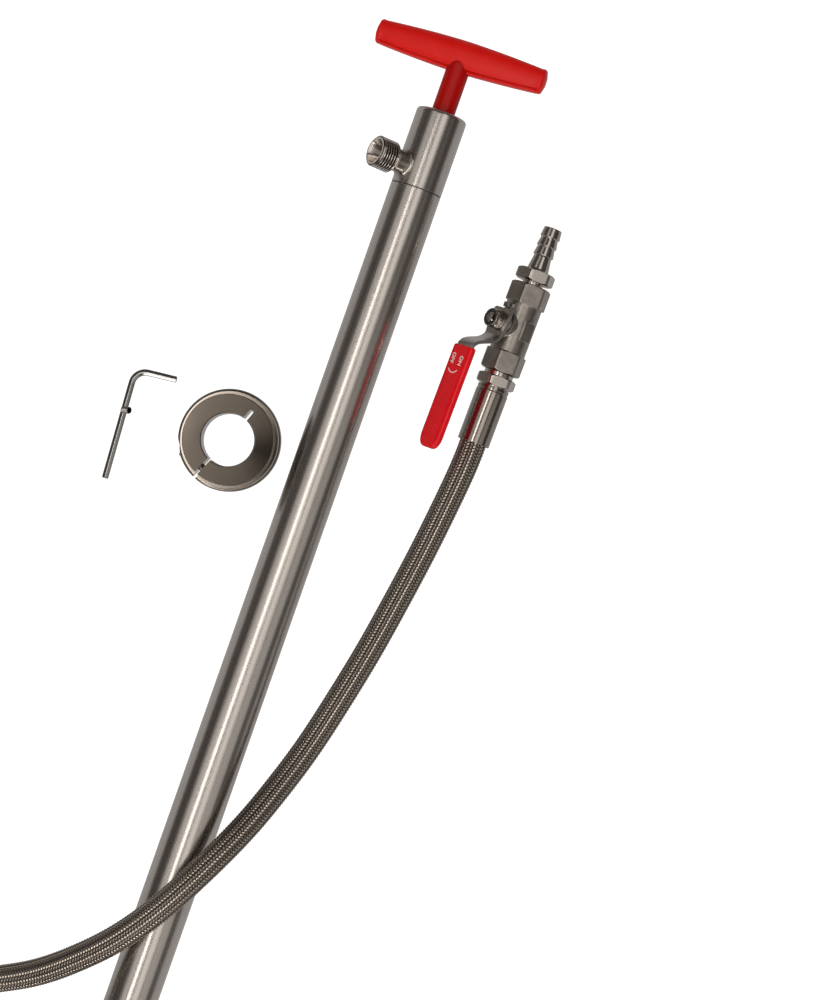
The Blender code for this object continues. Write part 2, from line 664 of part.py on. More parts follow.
def build_key():
    """Hex key: a hexagonal bar bent to an L."""
    long_way = (KEY_END - KEY_CORNER).normalized()
    short_way = (KEY_TIP - KEY_CORNER).normalized()
    angle = math.acos(long_way.dot(short_way))
    back = KEY_BEND_R / math.tan(angle / 2)
    centre = KEY_CORNER + (long_way + short_way).normalized() * (KEY_BEND_R / math.sin(angle / 2))
    a, b = KEY_CORNER + long_way * back - centre, KEY_CORNER + short_way * back - centre
    bend = [centre + a.normalized().slerp(b.normalized(), k / 9) * KEY_BEND_R for k in range(10)]
    path = [KEY_END, *bend, KEY_TIP]
    shape = bmesh.new()
    rows = []
    for i, point in enumerate(path):
        before = (point - path[i - 1]).normalized() if i else (path[1] - point).normalized()
        after = (path[i + 1] - point).normalized() if i + 1 < len(path) else before
        side = (before + after).normalized().cross(UP)
        corners = [heading(k * math.pi / 3) * KEY_FLATS / math.sqrt(3) for k in range(6)]
        rows.append([shape.verts.new((point + side * c.x + UP * c.y) * MM) for c in corners])
    for first, second in zip(rows, rows[1:]):
        for k in range(6):
            shape.faces.new((first[k], first[(k + 1) % 6], second[(k + 1) % 6], second[k]))
    shape.faces.new(rows[0][::-1])
    shape.faces.new(rows[-1])
    bmesh.ops.recalc_face_normals(shape, faces=shape.faces)
    from_bmesh("hex_key", shape, axes((0, 0, 0), UP, (1, 0, 0)), PLATED)


def build_set_screw():
    level = math.cos(SET_SCREW_RISE)
    lean = axes(SET_SCREW_AT, (0.2 * level, -level, math.sin(SET_SCREW_RISE)), (1, 0, 0))
    screw = rod("set_screw", 0, SET_SCREW_L, SET_SCREW_R, lean, STEEL, 0.35, 24)
    combine(screw, hexagon("set_socket", 3.4, 8, 2.4, lean, cutter=True, chamfers=(False, False)))


clear_scene()
PARTS = new_collection("drum_barrel_pump")
CUTTERS = new_collection("cutters")
STEEL = finish("brushed_stainless", (0.42, 0.40, 0.38), 0.3)
CAST = finish("cast_stainless", (0.33, 0.31, 0.28), 0.45)
POLISHED = finish("polished_stainless", (0.45, 0.41, 0.37), 0.15)
PLATED = finish("plated_steel", (0.55, 0.54, 0.52), 0.25)
BRAID = finish("stainless_braid", (0.32, 0.28, 0.25), 0.4)
BRASS = finish("brass", (0.6, 0.45, 0.2), 0.35)
PTFE = finish("ptfe", (0.85, 0.85, 0.82), 0.5, 0.0)
NYLON = finish("black_nylon", (0.02, 0.02, 0.02), 0.5, 0.0)
RED = finish("red_plastic", (0.5, 0.01, 0.01), 0.4, 0.0)
RED_VINYL = finish("red_vinyl", (0.55, 0.005, 0.01), 0.3, 0.0)

pump_axes = axes((0, 0, TUBE_R), (1, 0, 0), UP)
build_barrel(pump_axes)
build_foot(pump_axes)
build_handle(pump_axes)
build_plunger(pump_axes)

stem_way = Vector((0, math.cos(STEM_LEAN), math.sin(STEM_LEAN)))
stem_way = (stem_way - VALVE_WAY * VALVE_WAY.dot(stem_way)).normalized()
valve_axes = axes(VALVE_TIP, VALVE_WAY, stem_way)
stem_axes = axes(VALVE_TIP + VALVE_WAY * STEM_AT, stem_way, VALVE_WAY)
build_valve(valve_axes, stem_axes)
build_valve_trim(valve_axes, stem_axes)
build_lever(stem_axes)
build_nozzle(valve_axes)

hose_line = build_hose()
build_far_end(hose_line)
build_collar()
build_key()
build_set_screw()
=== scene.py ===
"""Looks of the drum barrel pump kit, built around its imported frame.

Sizes are millimetres until a mesh is made. Each turned piece has its own frame, with local Z along its
axis, and distances along the pump are measured from the joint of its head and tube.
"""

import math

import bmesh
import bpy
import numpy as np
from mathutils import Matrix, Vector
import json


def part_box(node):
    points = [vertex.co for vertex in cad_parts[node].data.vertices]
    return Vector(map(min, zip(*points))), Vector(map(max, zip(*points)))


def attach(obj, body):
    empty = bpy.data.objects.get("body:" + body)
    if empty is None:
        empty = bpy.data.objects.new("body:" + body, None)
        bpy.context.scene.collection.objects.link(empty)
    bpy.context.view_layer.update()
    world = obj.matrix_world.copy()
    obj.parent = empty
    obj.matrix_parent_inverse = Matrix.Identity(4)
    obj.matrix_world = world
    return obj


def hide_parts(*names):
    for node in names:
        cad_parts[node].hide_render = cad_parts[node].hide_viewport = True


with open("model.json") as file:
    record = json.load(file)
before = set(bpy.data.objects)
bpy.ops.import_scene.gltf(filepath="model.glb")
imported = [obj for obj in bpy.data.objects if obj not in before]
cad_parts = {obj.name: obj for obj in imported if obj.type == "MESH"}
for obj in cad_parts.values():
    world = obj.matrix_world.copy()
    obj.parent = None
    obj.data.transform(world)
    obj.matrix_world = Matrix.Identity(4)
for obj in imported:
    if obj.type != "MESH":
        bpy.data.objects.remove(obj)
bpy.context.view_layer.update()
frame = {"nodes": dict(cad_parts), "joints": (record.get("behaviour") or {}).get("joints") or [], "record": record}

MM = 0.001
UP = Vector((0, 0, 1))
ALONG = Vector((1, 0, 0))
joints = {joint["name"]: joint for joint in frame["joints"]}
mounts = {mount["name"]: mount for mount in frame["record"]["mounts"]}


def axes(origin, along, side):
    """A matrix at origin whose Z runs along `along`, with its X on the side of `side`."""
    z = Vector(along).normalized()
    x = Vector(side)
    x = (x - z * z.dot(x)).normalized()
    return Matrix.Translation(origin) @ Matrix((x, z.cross(x), z)).transposed().to_4x4()


# -------- sizes and frames

TUBE_R, BORE_R = 16.0, 14.5
TUBE_LOW, FOOT_LOW, HEAD_TOP, JOINT_HALF = -905.0, -920.0, 49.5, 0.3
ROD_R = 5.0
PORT_AT, STUB_MOUTH, STUB_R = 12.1, 37.0, 9.9
STEM_R, STEM_END = 7.3, 41.6
BAR_MID, BAR_HALF, BAR_MID_R, BAR_END_R, BAR_FLATNESS = 86.8, 55.6, 10.0, 7.3, 0.745
BAR_OFF = -1.0
BAR_ROLL = math.radians(11)
STEM_AT = 65.5
BODY_START, BODY_END, BODY_FLATS, NUT_FLATS = 37.5, 94.5, 23.0, 22.0
FERRULE_START, FERRULE_END, FERRULE_R = 104.2, 141.0, 10.15
GRIP_OUT, GRIP_START, GRIP_LENGTH, GRIP_WIDTH, GRIP_THICK = 34.0, 88.0, 66.0, 17.5, 5.0
HOSE_R, HOSE_LENGTH, STRANDS, WIRES_A_STRAND, BRAID_PITCH = 8.5, 1.2, 20, 4, 2.0
COLLAR_BORE_R, PLUG_R, FLANGE_R, FLANGE_H, COLLAR_H = 16.35, 28.0, 32.0, 9.0, 23.0
SLIT_ANGLE, FLEX_ANGLE = math.radians(155.6), math.radians(-21)
SLIT_WIDTH, FLEX_WIDTH = 2.0, 2.8
KEY_FLATS, KEY_BEND_R = 4.0, 8.5
GRUB_AT, GRUB_RISE, GRUB_SOCKET = (-187.6, 126.7, 6.1), math.radians(40), 2.4
KEY_END, KEY_CORNER, KEY_TIP = (-231.5, 123.4), (-161.6, 127.8), (-159.0, 101.6)
VOXEL = 0.325

pump_at = Vector(joints["plunger_turn"]["pos_m"])
KIT = Vector((pump_at.x, pump_at.y, 0))
PUMP = axes(pump_at, ALONG, UP)
HANDLE = axes(pump_at, ALONG, (0, math.sin(BAR_ROLL), math.cos(BAR_ROLL)))
PORT = axes(pump_at + ALONG * PORT_AT * MM, mounts["outlet_face"]["axis"], ALONG)
stem_at, stem_way = (Vector(joints["valve_lever_turn"][key]) for key in ("pos_m", "axis"))
valve_way = Vector((-stem_way.y, stem_way.x, 0)).normalized()
STEM = axes(stem_at, stem_way, valve_way)
valve_tip = stem_at - valve_way * STEM_AT * MM
VALVE = axes(valve_tip, valve_way, stem_way)
END = axes(joints["union_nut_turn"]["pos_m"], joints["union_nut_turn"]["axis"], UP)
collar_low, collar_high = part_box("clamp_collar")
collar_at = Vector(((collar_low.x + collar_high.x) / 2, (collar_low.y + collar_high.y) / 2, 0))
COLLAR = axes(collar_at, UP, ALONG)
CLAMP = axes(joints["clamp_screw_turn"]["pos_m"], joints["clamp_screw_turn"]["axis"], UP)
WORLD = Matrix.Identity(4)


# -------- meshes


def closed_mesh(vertices, faces):
    """A mesh from points in millimetres, welded and facing out."""
    mesh = bpy.data.meshes.new("shape")
    mesh.from_pydata([Vector(v) * MM for v in vertices], [], faces)
    shape = bmesh.new()
    shape.from_mesh(mesh)
    bmesh.ops.remove_doubles(shape, verts=shape.verts, dist=0.0000005)
    bmesh.ops.recalc_face_normals(shape, faces=shape.faces)
    shape.to_mesh(mesh)
    shape.free()
    return mesh


def rounded(points, fillet=0.0, pieces=3):
    """An outline with its corners replaced by short curves. A point's third number is its own fillet."""
    made = []
    for i, (axial, radius, *own) in enumerate(points):
        reach = own[0] if own else fillet
        if not reach:
            made.append((axial, radius))
            continue
        corner = np.array((axial, radius))
        ends = []
        for near in (points[i - 1], points[(i + 1) % len(points)]):
            away = np.array(near[:2]) - corner
            length = max(float(np.linalg.norm(away)), 1e-6)
            ends.append(corner + away / length * min(reach, 0.48 * length))
        for k in range(pieces + 1):
            t = k / pieces
            made.append(tuple(ends[0] * (1 - t) ** 2 + corner * 2 * t * (1 - t) + ends[1] * t * t))
    return made


def turned(outline, steps=96):
    """An outline of (axial, radius) points about local Z, open where it ends on the axis.

    The outline may be a function of the angle.
    """
    columns = []
    for k in range(steps):
        angle = 2 * math.pi * k / steps
        points = outline(angle) if callable(outline) else outline
        columns += [(r * math.cos(angle), r * math.sin(angle), a) for a, r in points]
    count = len(columns) // steps
    closed = max(points[0][1], points[-1][1]) > 0.001
    faces = []
    for k in range(steps):
        here, there = k * count, (k + 1) % steps * count
        for i in range(count if closed else count - 1):
            j = (i + 1) % count
            faces.append((here + i, here + j, there + j, there + i))
    return closed_mesh(columns, faces)


def grid(rows, caps=True):
    """A skin over rings of points in millimetres, each ring closed, with flat ends."""
    count = len(rows[0])
    vertices = [p for row in rows for p in row]
    faces = []
    for k in range(len(rows) - 1):
        for i in range(count):
            j = (i + 1) % count
            faces.append((k * count + i, k * count + j, (k + 1) * count + j, (k + 1) * count + i))
    if caps:
        faces.append(tuple(range(count))[::-1])
        faces.append(tuple(range((len(rows) - 1) * count, len(rows) * count)))
    return closed_mesh(vertices, faces)


def hex_radius(angle, flats, blunt=0.25):
    """Distance from the axis to a hexagon's side, with a flat at angle 0 and its corners blunted."""
    offset = (angle + math.pi / 6) % (math.pi / 3) - math.pi / 6
    return min(flats / 2 / math.cos(offset), flats / math.sqrt(3) - blunt)


def hex_sides(angle, low, high, flats, chamfers=(True, True)):
    """The outer side of a hexagon at this angle, from high to low, with its ends chamfered at 30 degrees."""
    side = hex_radius(angle, flats)
    face = flats / 2 - 0.3
    drop = (side - face) * math.tan(math.radians(30))
    top = [(high, face), (high - drop, side)] if chamfers[1] else [(high, side), (high, side)]
    bottom = [(low + drop, side), (low, face)] if chamfers[0] else [(low, side), (low, side)]
    return [(*p, 0.08) for p in top + bottom]


def thread_sides(angle, low, high, radius, depth, pitch, rows=10):
    """Crests and roots of a right-hand thread at this angle, from high to low, fading at its ends."""
    count = round((high - low) / pitch * rows)
    sides = []
    for k in range(count + 1):
        axial = high - (high - low) * k / count
        wave = abs(((axial / pitch - angle / (2 * math.pi)) % 1) * 2 - 1)
        wave = min(1.0, max(0.0, wave * 1.5 - 0.25))
        fade = min(1.0, (high - axial) / pitch * 2, (axial - low) / pitch * 2)
        sides.append((axial, radius - depth * wave * max(fade, 0.0), 0))
    return sides


def block(centre, size):
    shape = bmesh.new()
    bmesh.ops.create_cube(shape, size=1)
    bmesh.ops.scale(shape, vec=Vector(size) * MM, verts=shape.verts)
    bmesh.ops.translate(shape, vec=Vector(centre) * MM, verts=shape.verts)
    mesh = bpy.data.meshes.new("block")
    shape.to_mesh(mesh)
    shape.free()
    return mesh


def rod_mesh(low, high, radius, steps=96):
    return turned([(high, 0), (high, radius), (low, radius), (low, 0)], steps)


def loose(data, matrix):
    """An object in place, before it rides on anything."""
    thing = bpy.data.objects.new(data.name, data)
    bpy.context.scene.collection.objects.link(thing)
    thing.matrix_world = matrix
    return thing


def made_mesh(thing):
    """The mesh that an object's text or modifiers make."""
    bpy.context.view_layer.update()
    graph = bpy.context.evaluated_depsgraph_get()
    return bpy.data.meshes.new_from_object(thing.evaluated_get(graph))


def settle(thing):
    """Applies the thing's modifiers to its mesh."""
    mesh = made_mesh(thing)
    thing.modifiers.clear()
    thing.data = mesh
    return thing


def combine(thing, other_mesh, matrix, how="DIFFERENCE"):
    other = loose(other_mesh, matrix)
    change = thing.modifiers.new(how.lower(), "BOOLEAN")
    change.object, change.operation = other, how
    settle(thing)
    bpy.data.objects.remove(other, do_unlink=True)
    return thing


def soften(thing, width, segments=2, angle=40):
    """Small round edges where two faces meet at more than the angle."""
    bevel = thing.modifiers.new("edges", "BEVEL")
    bevel.width, bevel.segments = width * MM, segments
    bevel.limit_method, bevel.angle_limit = "ANGLE", math.radians(angle)
    bevel.use_clamp_overlap = True
    return settle(thing)


def finish(thing, name, material, body, node=None, sharp=32, flat=True):
    """Names the piece, shades and paints it, and lets it ride on its body in place of a CAD node."""
    thing.name = name
    thing.data.materials.clear()
    thing.data.materials.append(material)
    thing.data.shade_smooth()
    thing.data.set_sharp_from_angle(angle=math.radians(sharp))
    if flat:
        even = thing.modifiers.new("flats", "WEIGHTED_NORMAL")
        even.keep_sharp, even.weight = True, 80
        settle(thing)
    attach(thing, body)
    if node:
        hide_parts(node)
    thing.data.name = name
    return thing


# -------- materials


class Look:
    """A Principled material with a few procedural inputs, read in the piece's own frame."""

    def __init__(self, name, colour, roughness, metallic=1.0, **sockets):
        self.material = bpy.data.materials.new(name)
        self.material.use_nodes = True
        self.tree = self.material.node_tree
        self.shader = self.tree.nodes["Principled BSDF"]
        self.shader.inputs["Base Color"].default_value = (*colour, 1)
        self.shader.inputs["Roughness"].default_value = roughness
        self.shader.inputs["Metallic"].default_value = metallic
        for socket, value in sockets.items():
            self.shader.inputs[socket.replace("_", " ")].default_value = value
        self.place = self.node("ShaderNodeTexCoord").outputs["Object"]

    def node(self, kind, **settings):
        made = self.tree.nodes.new(kind)
        for name, value in settings.items():
            setattr(made, name, value)
        return made

    def link(self, output, target):
        self.tree.links.new(output, target)

    def math(self, operation, first, second=None):
        """What a Math node makes of an output and a second output or number."""
        made = self.node("ShaderNodeMath", operation=operation)
        self.link(first, made.inputs[0])
        if isinstance(second, (int, float)):
            made.inputs[1].default_value = second
        elif second is not None:
            self.link(second, made.inputs[1])
        return made.outputs[0]

    def part(self, place, axis):
        """One coordinate of a place."""
        parts = self.node("ShaderNodeSeparateXYZ")
        self.link(place, parts.inputs[0])
        return parts.outputs[axis]

    def stretched(self, stretch):
        mapping = self.node("ShaderNodeMapping")
        mapping.inputs["Scale"].default_value = stretch
        self.link(self.place, mapping.inputs["Vector"])
        return mapping.outputs["Vector"]

    def rings(self):
        """A place that changes only along the axis and away from it, as turning marks do."""
        flat = self.node("ShaderNodeCombineXYZ")
        for axis in "XY":
            self.link(self.part(self.place, axis), flat.inputs[axis])
        length = self.node("ShaderNodeVectorMath", operation="LENGTH")
        self.link(flat.outputs[0], length.inputs[0])
        both = self.node("ShaderNodeCombineXYZ")
        self.link(length.outputs["Value"], both.inputs["X"])
        self.link(self.part(self.place, "Z"), both.inputs["Y"])
        return both.outputs[0]

    def noise(self, place, scale, detail=3.0, roughness=0.55):
        texture = self.node("ShaderNodeTexNoise")
        texture.inputs["Scale"].default_value = scale
        texture.inputs["Detail"].default_value = detail
        texture.inputs["Roughness"].default_value = roughness
        self.link(place, texture.inputs["Vector"])
        return texture.outputs["Fac"]

    def ranged(self, value, low, high, start=0.3, end=0.7):
        span = self.node("ShaderNodeMapRange")
        for name, number in (("From Min", start), ("From Max", end), ("To Min", low), ("To Max", high)):
            span.inputs[name].default_value = number
        self.link(value, span.inputs["Value"])
        return span.outputs["Result"]

    def vary_roughness(self, value, low, high):
        self.link(self.ranged(value, low, high), self.shader.inputs["Roughness"])

    def blend(self, share, dark, light):
        """A colour from dark to light. Dark may also be an output."""
        mix = self.node("ShaderNodeMix", data_type="RGBA")
        if isinstance(dark, tuple):
            mix.inputs["A"].default_value = (*dark, 1)
        else:
            self.link(dark, mix.inputs["A"])
        mix.inputs["B"].default_value = (*light, 1)
        self.link(share, mix.inputs["Factor"])
        return mix.outputs["Result"]

    def vary_colour(self, value, dark, light, start=0.3, end=0.7):
        mixed = self.blend(self.ranged(value, 0, 1, start, end), dark, light)
        self.link(mixed, self.shader.inputs["Base Color"])

    def bump(self, height, strength, depth):
        """Adds relief. depth is in millimetres."""
        made = self.node("ShaderNodeBump")
        made.inputs["Strength"].default_value = strength
        made.inputs["Distance"].default_value = depth * MM
        self.link(height, made.inputs["Height"])
        self.link(made.outputs["Normal"], self.shader.inputs["Normal"])


def shade(colour, share):
    return tuple(c * share for c in colour)


def brushed(name, colour, roughness):
    """Steel brushed along its axis."""
    look = Look(name, colour, roughness)
    streaks = look.noise(look.stretched((1, 1, 0.004)), 700, 4, 0.6)
    clouds = look.noise(look.stretched((1, 1, 0.2)), 60, 2)
    look.vary_roughness(streaks, roughness - 0.03, roughness + 0.05)
    both = look.math("MULTIPLY", streaks, look.ranged(clouds, 0.96, 1.04))
    look.vary_colour(both, shade(colour, 0.88), shade(colour, 1.1))
    return look.material


def machined(name, colour, roughness):
    """Steel with fine turning marks round its axis and faint handling smudges."""
    look = Look(name, colour, roughness)
    marks = look.noise(look.rings(), 2600, 3, 0.7)
    smudges = look.noise(look.place, 140, 3)
    look.vary_roughness(smudges, roughness - 0.01, roughness + 0.02)
    both = look.math("ADD", look.ranged(smudges, -0.05, 0.05), marks)
    look.vary_colour(both, shade(colour, 0.9), shade(colour, 1.08))
    return look.material


def turned_with_painted_dark_top(name, side, face, face_at, roughness):
    """Turned steel whose fine rings spread reflections. Its end face, face_at millimetres up, is painted darker: a
    painted dark reflection.
    """
    look = Look(name, face, roughness)
    marks = look.noise(look.rings(), 2600, 3, 0.7)
    look.vary_roughness(marks, roughness - 0.02, roughness + 0.03)
    height = look.part(look.place, "Z")
    # painted reflection: the same steel, coloured much darker on the end face for the dark room it reflects
    look.vary_colour(height, side, face, (face_at - 0.12) * MM, (face_at - 0.04) * MM)
    look.shader.inputs["Anisotropic"].default_value = 0.8
    around = look.node("ShaderNodeTangent", direction_type="RADIAL", axis="Z")
    look.link(around.outputs["Tangent"], look.shader.inputs["Tangent"])
    return look.material


def plated(name, colour, roughness):
    """Smooth plating with faint handling smudges."""
    look = Look(name, colour, roughness)
    smudges = look.noise(look.place, 140, 3)
    look.vary_roughness(smudges, roughness - 0.02, roughness + 0.04)
    look.vary_colour(smudges, shade(colour, 0.95), shade(colour, 1.04))
    return look.material


def thread_with_painted_root_shade(name, colour, root, crest, hollow):
    """Thread roots painted dark as painted shade, lightening up to the crests; the bore keeps the light colour.
    All by the distance from the axis in millimetres.
    """
    look = Look(name, colour, 0.2)
    radius = look.part(look.rings(), "X")
    bore = look.ranged(radius, 1, 0, hollow * MM, (hollow + 0.05) * MM)
    # painted shade: darker from the crests down into the thread roots
    painted_root_shade = look.ranged(radius, 0, 1, root * MM, crest * MM)
    look.vary_colour(look.math("MAXIMUM", bore, painted_root_shade), shade(colour, 0.12), shade(colour, 1.3), 0, 1)
    look.vary_roughness(look.noise(look.place, 200, 3), 0.17, 0.24)
    return look.material


def cast(name, colour):
    """Blasted casting: fine grain, a little mottling, and a lighter colour on its pointed edges."""
    look = Look(name, colour, 0.42)
    grain = look.noise(look.place, 2400, 4, 0.7)
    mottle = look.noise(look.place, 220, 3)
    # lighter colour on convex edges, by the mesh's pointiness
    pointed_edges = look.ranged(look.node("ShaderNodeNewGeometry").outputs["Pointiness"], 0, 1, 0.52, 0.6)
    body = look.blend(look.ranged(mottle, 0, 1), shade(colour, 0.8), shade(colour, 1.15))
    look.link(look.blend(pointed_edges, body, shade(colour, 1.6)), look.shader.inputs["Base Color"])
    look.vary_roughness(grain, 0.28, 0.4)
    look.bump(grain, 0.35, 0.06)
    return look.material


def wire(name, colour):
    """Fine drawn wires side by side in each strand of the braid, read from the strands' own map, with painted
    shade in the gaps between the wires.
    """
    look = Look(name, colour, 0.2)
    across = look.part(look.node("ShaderNodeUVMap").outputs["UV"], "Y")
    wave = look.math("COSINE", look.math("MULTIPLY", across, WIRES_A_STRAND * 2 * math.pi))
    # painted shade: darker in the gaps between neighbouring wires, lighter on their crowns
    look.vary_colour(wave, shade(colour, 1.1), shade(colour, 0.6), -1, 1)
    tarnish = look.noise(look.place, 300, 2)
    look.vary_roughness(tarnish, 0.14, 0.2)
    return look.material


def moulded(name, colour, roughness, grain, depth, **sockets):
    """Moulded or dipped plastic with a slightly uneven skin."""
    look = Look(name, colour, roughness, 0.0, **sockets)
    skin = look.noise(look.place, grain, 3)
    scuffs = look.noise(look.place, 90, 4, 0.6)
    look.vary_roughness(scuffs, roughness - 0.05, roughness + 0.08)
    look.vary_colour(scuffs, shade(colour, 0.94), shade(colour, 1.04))
    look.bump(skin, 0.3, depth)
    return look.material


BRUSHED = brushed("brushed_stainless_look", (0.50, 0.465, 0.435), 0.25)
BRUSHED_FLAT = brushed("brushed_strap_look", (0.46, 0.43, 0.40), 0.3)
BRIGHT = machined("machined_stainless_look", (0.46, 0.42, 0.39), 0.2)
POLISHED = machined("polished_stainless_look", (0.50, 0.455, 0.41), 0.14)
SLEEVE = machined("sleeve_look", (0.33, 0.295, 0.265), 0.17)
THREAD = thread_with_painted_root_shade("outlet_thread_painted_shade_look", (0.50, 0.46, 0.425), STUB_R - 0.75, STUB_R - 0.2, STUB_R - 1.2)
GRUB_STEEL = plated("grub_steel_look", (0.40, 0.385, 0.365), 0.25)
# near black: painted shade inside the socket, and the dark face round it
DARK_END = plated("grub_socket_look", (0.02, 0.019, 0.018), 0.45)
CAST = cast("cast_stainless_look", (0.315, 0.285, 0.26))
WIRE = wire("braid_wire_look", (0.55, 0.47, 0.40))
# painted shade: the left-lay strands take a darker copy of the same wire, so they read dimmer than the right lay
PAINTED_SHADE_WIRE = wire("braid_wire_painted_shade_look", (0.24, 0.205, 0.175))
LINER = moulded("liner_look", (0.02, 0.016, 0.013), 0.7, 400, 0.02)
PLATED = plated("nickel_plate_look", (0.40, 0.395, 0.385), 0.2)
TURNED = turned_with_painted_dark_top("turned_collar_painted_dark_top_look", (0.25, 0.22, 0.19), (0.076, 0.064, 0.053), COLLAR_H, 0.16)
BRASS = machined("brass_look", (0.62, 0.45, 0.19), 0.3)
PTFE = moulded("ptfe_look", (0.82, 0.82, 0.80), 0.45, 500, 0.01)
# painted shade: the head gasket is coloured near black for the shade in the joint between head and tube; its slot
# is white PTFE
PAINTED_SHADE_GASKET = moulded("gasket_painted_shade_look", (0.05, 0.048, 0.045), 0.5, 500, 0.01)
NYLON = moulded("black_nylon_look", (0.015, 0.015, 0.015), 0.45, 500, 0.01)
RED = moulded("red_plastic_look", (0.47, 0.006, 0.004), 0.33, 700, 0.01, Specular_IOR_Level=0.14)
# painted shade: a darker copy of the handle's red for its stem, which is one moulding with the bar
PAINTED_SHADE_RED = moulded("red_stem_painted_shade_look", (0.27, 0.002, 0.001), 0.34, 700, 0.01, Specular_IOR_Level=0.12)
VINYL = moulded("red_vinyl_look", (0.50, 0.004, 0.008), 0.2, 160, 0.03, Specular_IOR_Level=0.25)
WHITE_INK = moulded("white_ink_look", (0.62, 0.58, 0.57), 0.5, 500, 0.005)


# -------- pump barrel


def build_tube():
    outline = [(-JOINT_HALF, BORE_R), (-JOINT_HALF, TUBE_R), (TUBE_LOW, TUBE_R), (TUBE_LOW, BORE_R)]
    finish(loose(turned(rounded(outline, 0.25), 128), PUMP), "dip_tube", BRUSHED, "pump", "pump_tube")


def build_head():
    outline = [(HEAD_TOP, 10.2, 0.2), (HEAD_TOP, TUBE_R, 2.7), (JOINT_HALF, TUBE_R, 0.25)]
    outline += [(JOINT_HALF, 14.2), (-14, 14.2), (-14, 11), (21, 11), (21, 6.5), (23, 6.5)]
    outline += [(23, 9.4), (HEAD_TOP - 0.8, 9.4)]
    head = loose(turned(rounded(outline, pieces=6), 128), PUMP)
    port = rod_mesh(4, 22, 7.4)
    combine(head, port, PORT)
    finish(head, "head", BRUSHED, "pump", "pump_head")


def stub_outline(angle):
    cone_start, thread_low, thread_high = 29.4, 24.9, STUB_MOUTH - 0.9
    outline = [(STUB_MOUTH, 7.6, 0.1), (STUB_MOUTH, STUB_R - 1, 0.1)]
    outline += thread_sides(angle, thread_low, thread_high, STUB_R, 1.1, 1.81)
    outline += [(24.2, STUB_R - 0.6, 0.3), (23.3, 7.6, 0.6), (21.5, 7.15), (12.5, 7.15), (12.5, 5)]
    return rounded([*outline, (cone_start, 5, 0.3)])


def weld_rows():
    """Rings along the saddle where the stub meets the head, with the ripples that a weld leaves."""
    rows = []
    for k in range(120):
        angle = 2 * math.pi * k / 120
        ripple = 1 + 0.02 * math.sin(34 * angle)
        row = []
        for i in range(12):
            turn = 2 * math.pi * i / 12
            radius = 7.75 + 1.25 * ripple * math.cos(turn)
            x, y = radius * math.cos(angle), radius * math.sin(angle)
            saddle = math.sqrt(TUBE_R**2 - y**2)
            row.append((x, y, saddle + 0.25 + ripple * math.sin(turn)))
        rows.append(row)
    return [*rows, rows[0]]


def build_stub():
    finish(loose(turned(stub_outline, 96), PORT), "outlet", THREAD, "pump", "outlet_stub", 40)
    finish(loose(grid(weld_rows(), caps=False), PORT), "outlet_weld", BRIGHT, "pump")


def build_foot():
    low = FOOT_LOW
    outline = [(low + 40, 13.4), (low + 39.2, 14.2), (low + 14.7, 14.2), (low + 14.7, TUBE_R, 0.25)]
    outline += [(low, TUBE_R, 1.2), (low, 8, 0.4), (low + 12, 8), (low + 12, 10), (low + 40, 10)]
    foot = loose(turned(rounded(outline), 128), PUMP)
    for side in ((7, 40, 14), (40, 7, 14)):
        combine(foot, block((0, 0, low + 1), side), PUMP)
    finish(soften(foot, 0.25), "foot", BRIGHT, "pump", "foot_valve_body")
    for name, body, axial, radius in (
        ("foot_ball", "foot_check", low + 20.8, 7.5),
        ("piston_ball", "piston_check", -863.2, 6.5),
    ):
        turns = [math.pi * k / 24 for k in range(25)]
        outline = [(axial + radius * math.cos(turn), radius * math.sin(turn)) for turn in turns]
        sphere = loose(turned(outline, 48), PUMP)
        finish(sphere, name + "_polished", POLISHED, body, name)


# -------- plunger


def bar_reach(share):
    """Half the bar's width at this share of its half length."""
    return BAR_MID_R - (BAR_MID_R - BAR_END_R) * abs(share) ** 1.7


def bar_row(share):
    """One ring round the handle's bar."""
    reach = abs(share)
    depth = bar_reach(share)
    closing = max(0.0, (reach - 0.965) / 0.035)
    scale = math.sqrt(max(0.0, 1 - closing**2.2)) * 0.5 + 0.5
    lip = 0.35 * math.exp(-(((reach - 0.955) / 0.018) ** 2))
    ring = []
    for i in range(160):
        turn = 2 * math.pi * i / 160
        across, up = math.cos(turn), math.sin(turn)
        x = math.copysign(abs(across) ** 0.92, across) * depth
        y = math.copysign(abs(up) ** 0.82, up) * depth * BAR_FLATNESS
        x, y = x * scale + math.copysign(lip, x), y * scale + math.copysign(lip, y)
        if x < 0 and reach < 0.94:
            y *= 1 - 0.24 * math.exp(-(((x + depth - 1.6) / 0.26) ** 2))
        ring.append((y, share * BAR_HALF + BAR_OFF, BAR_MID + x))
    return ring


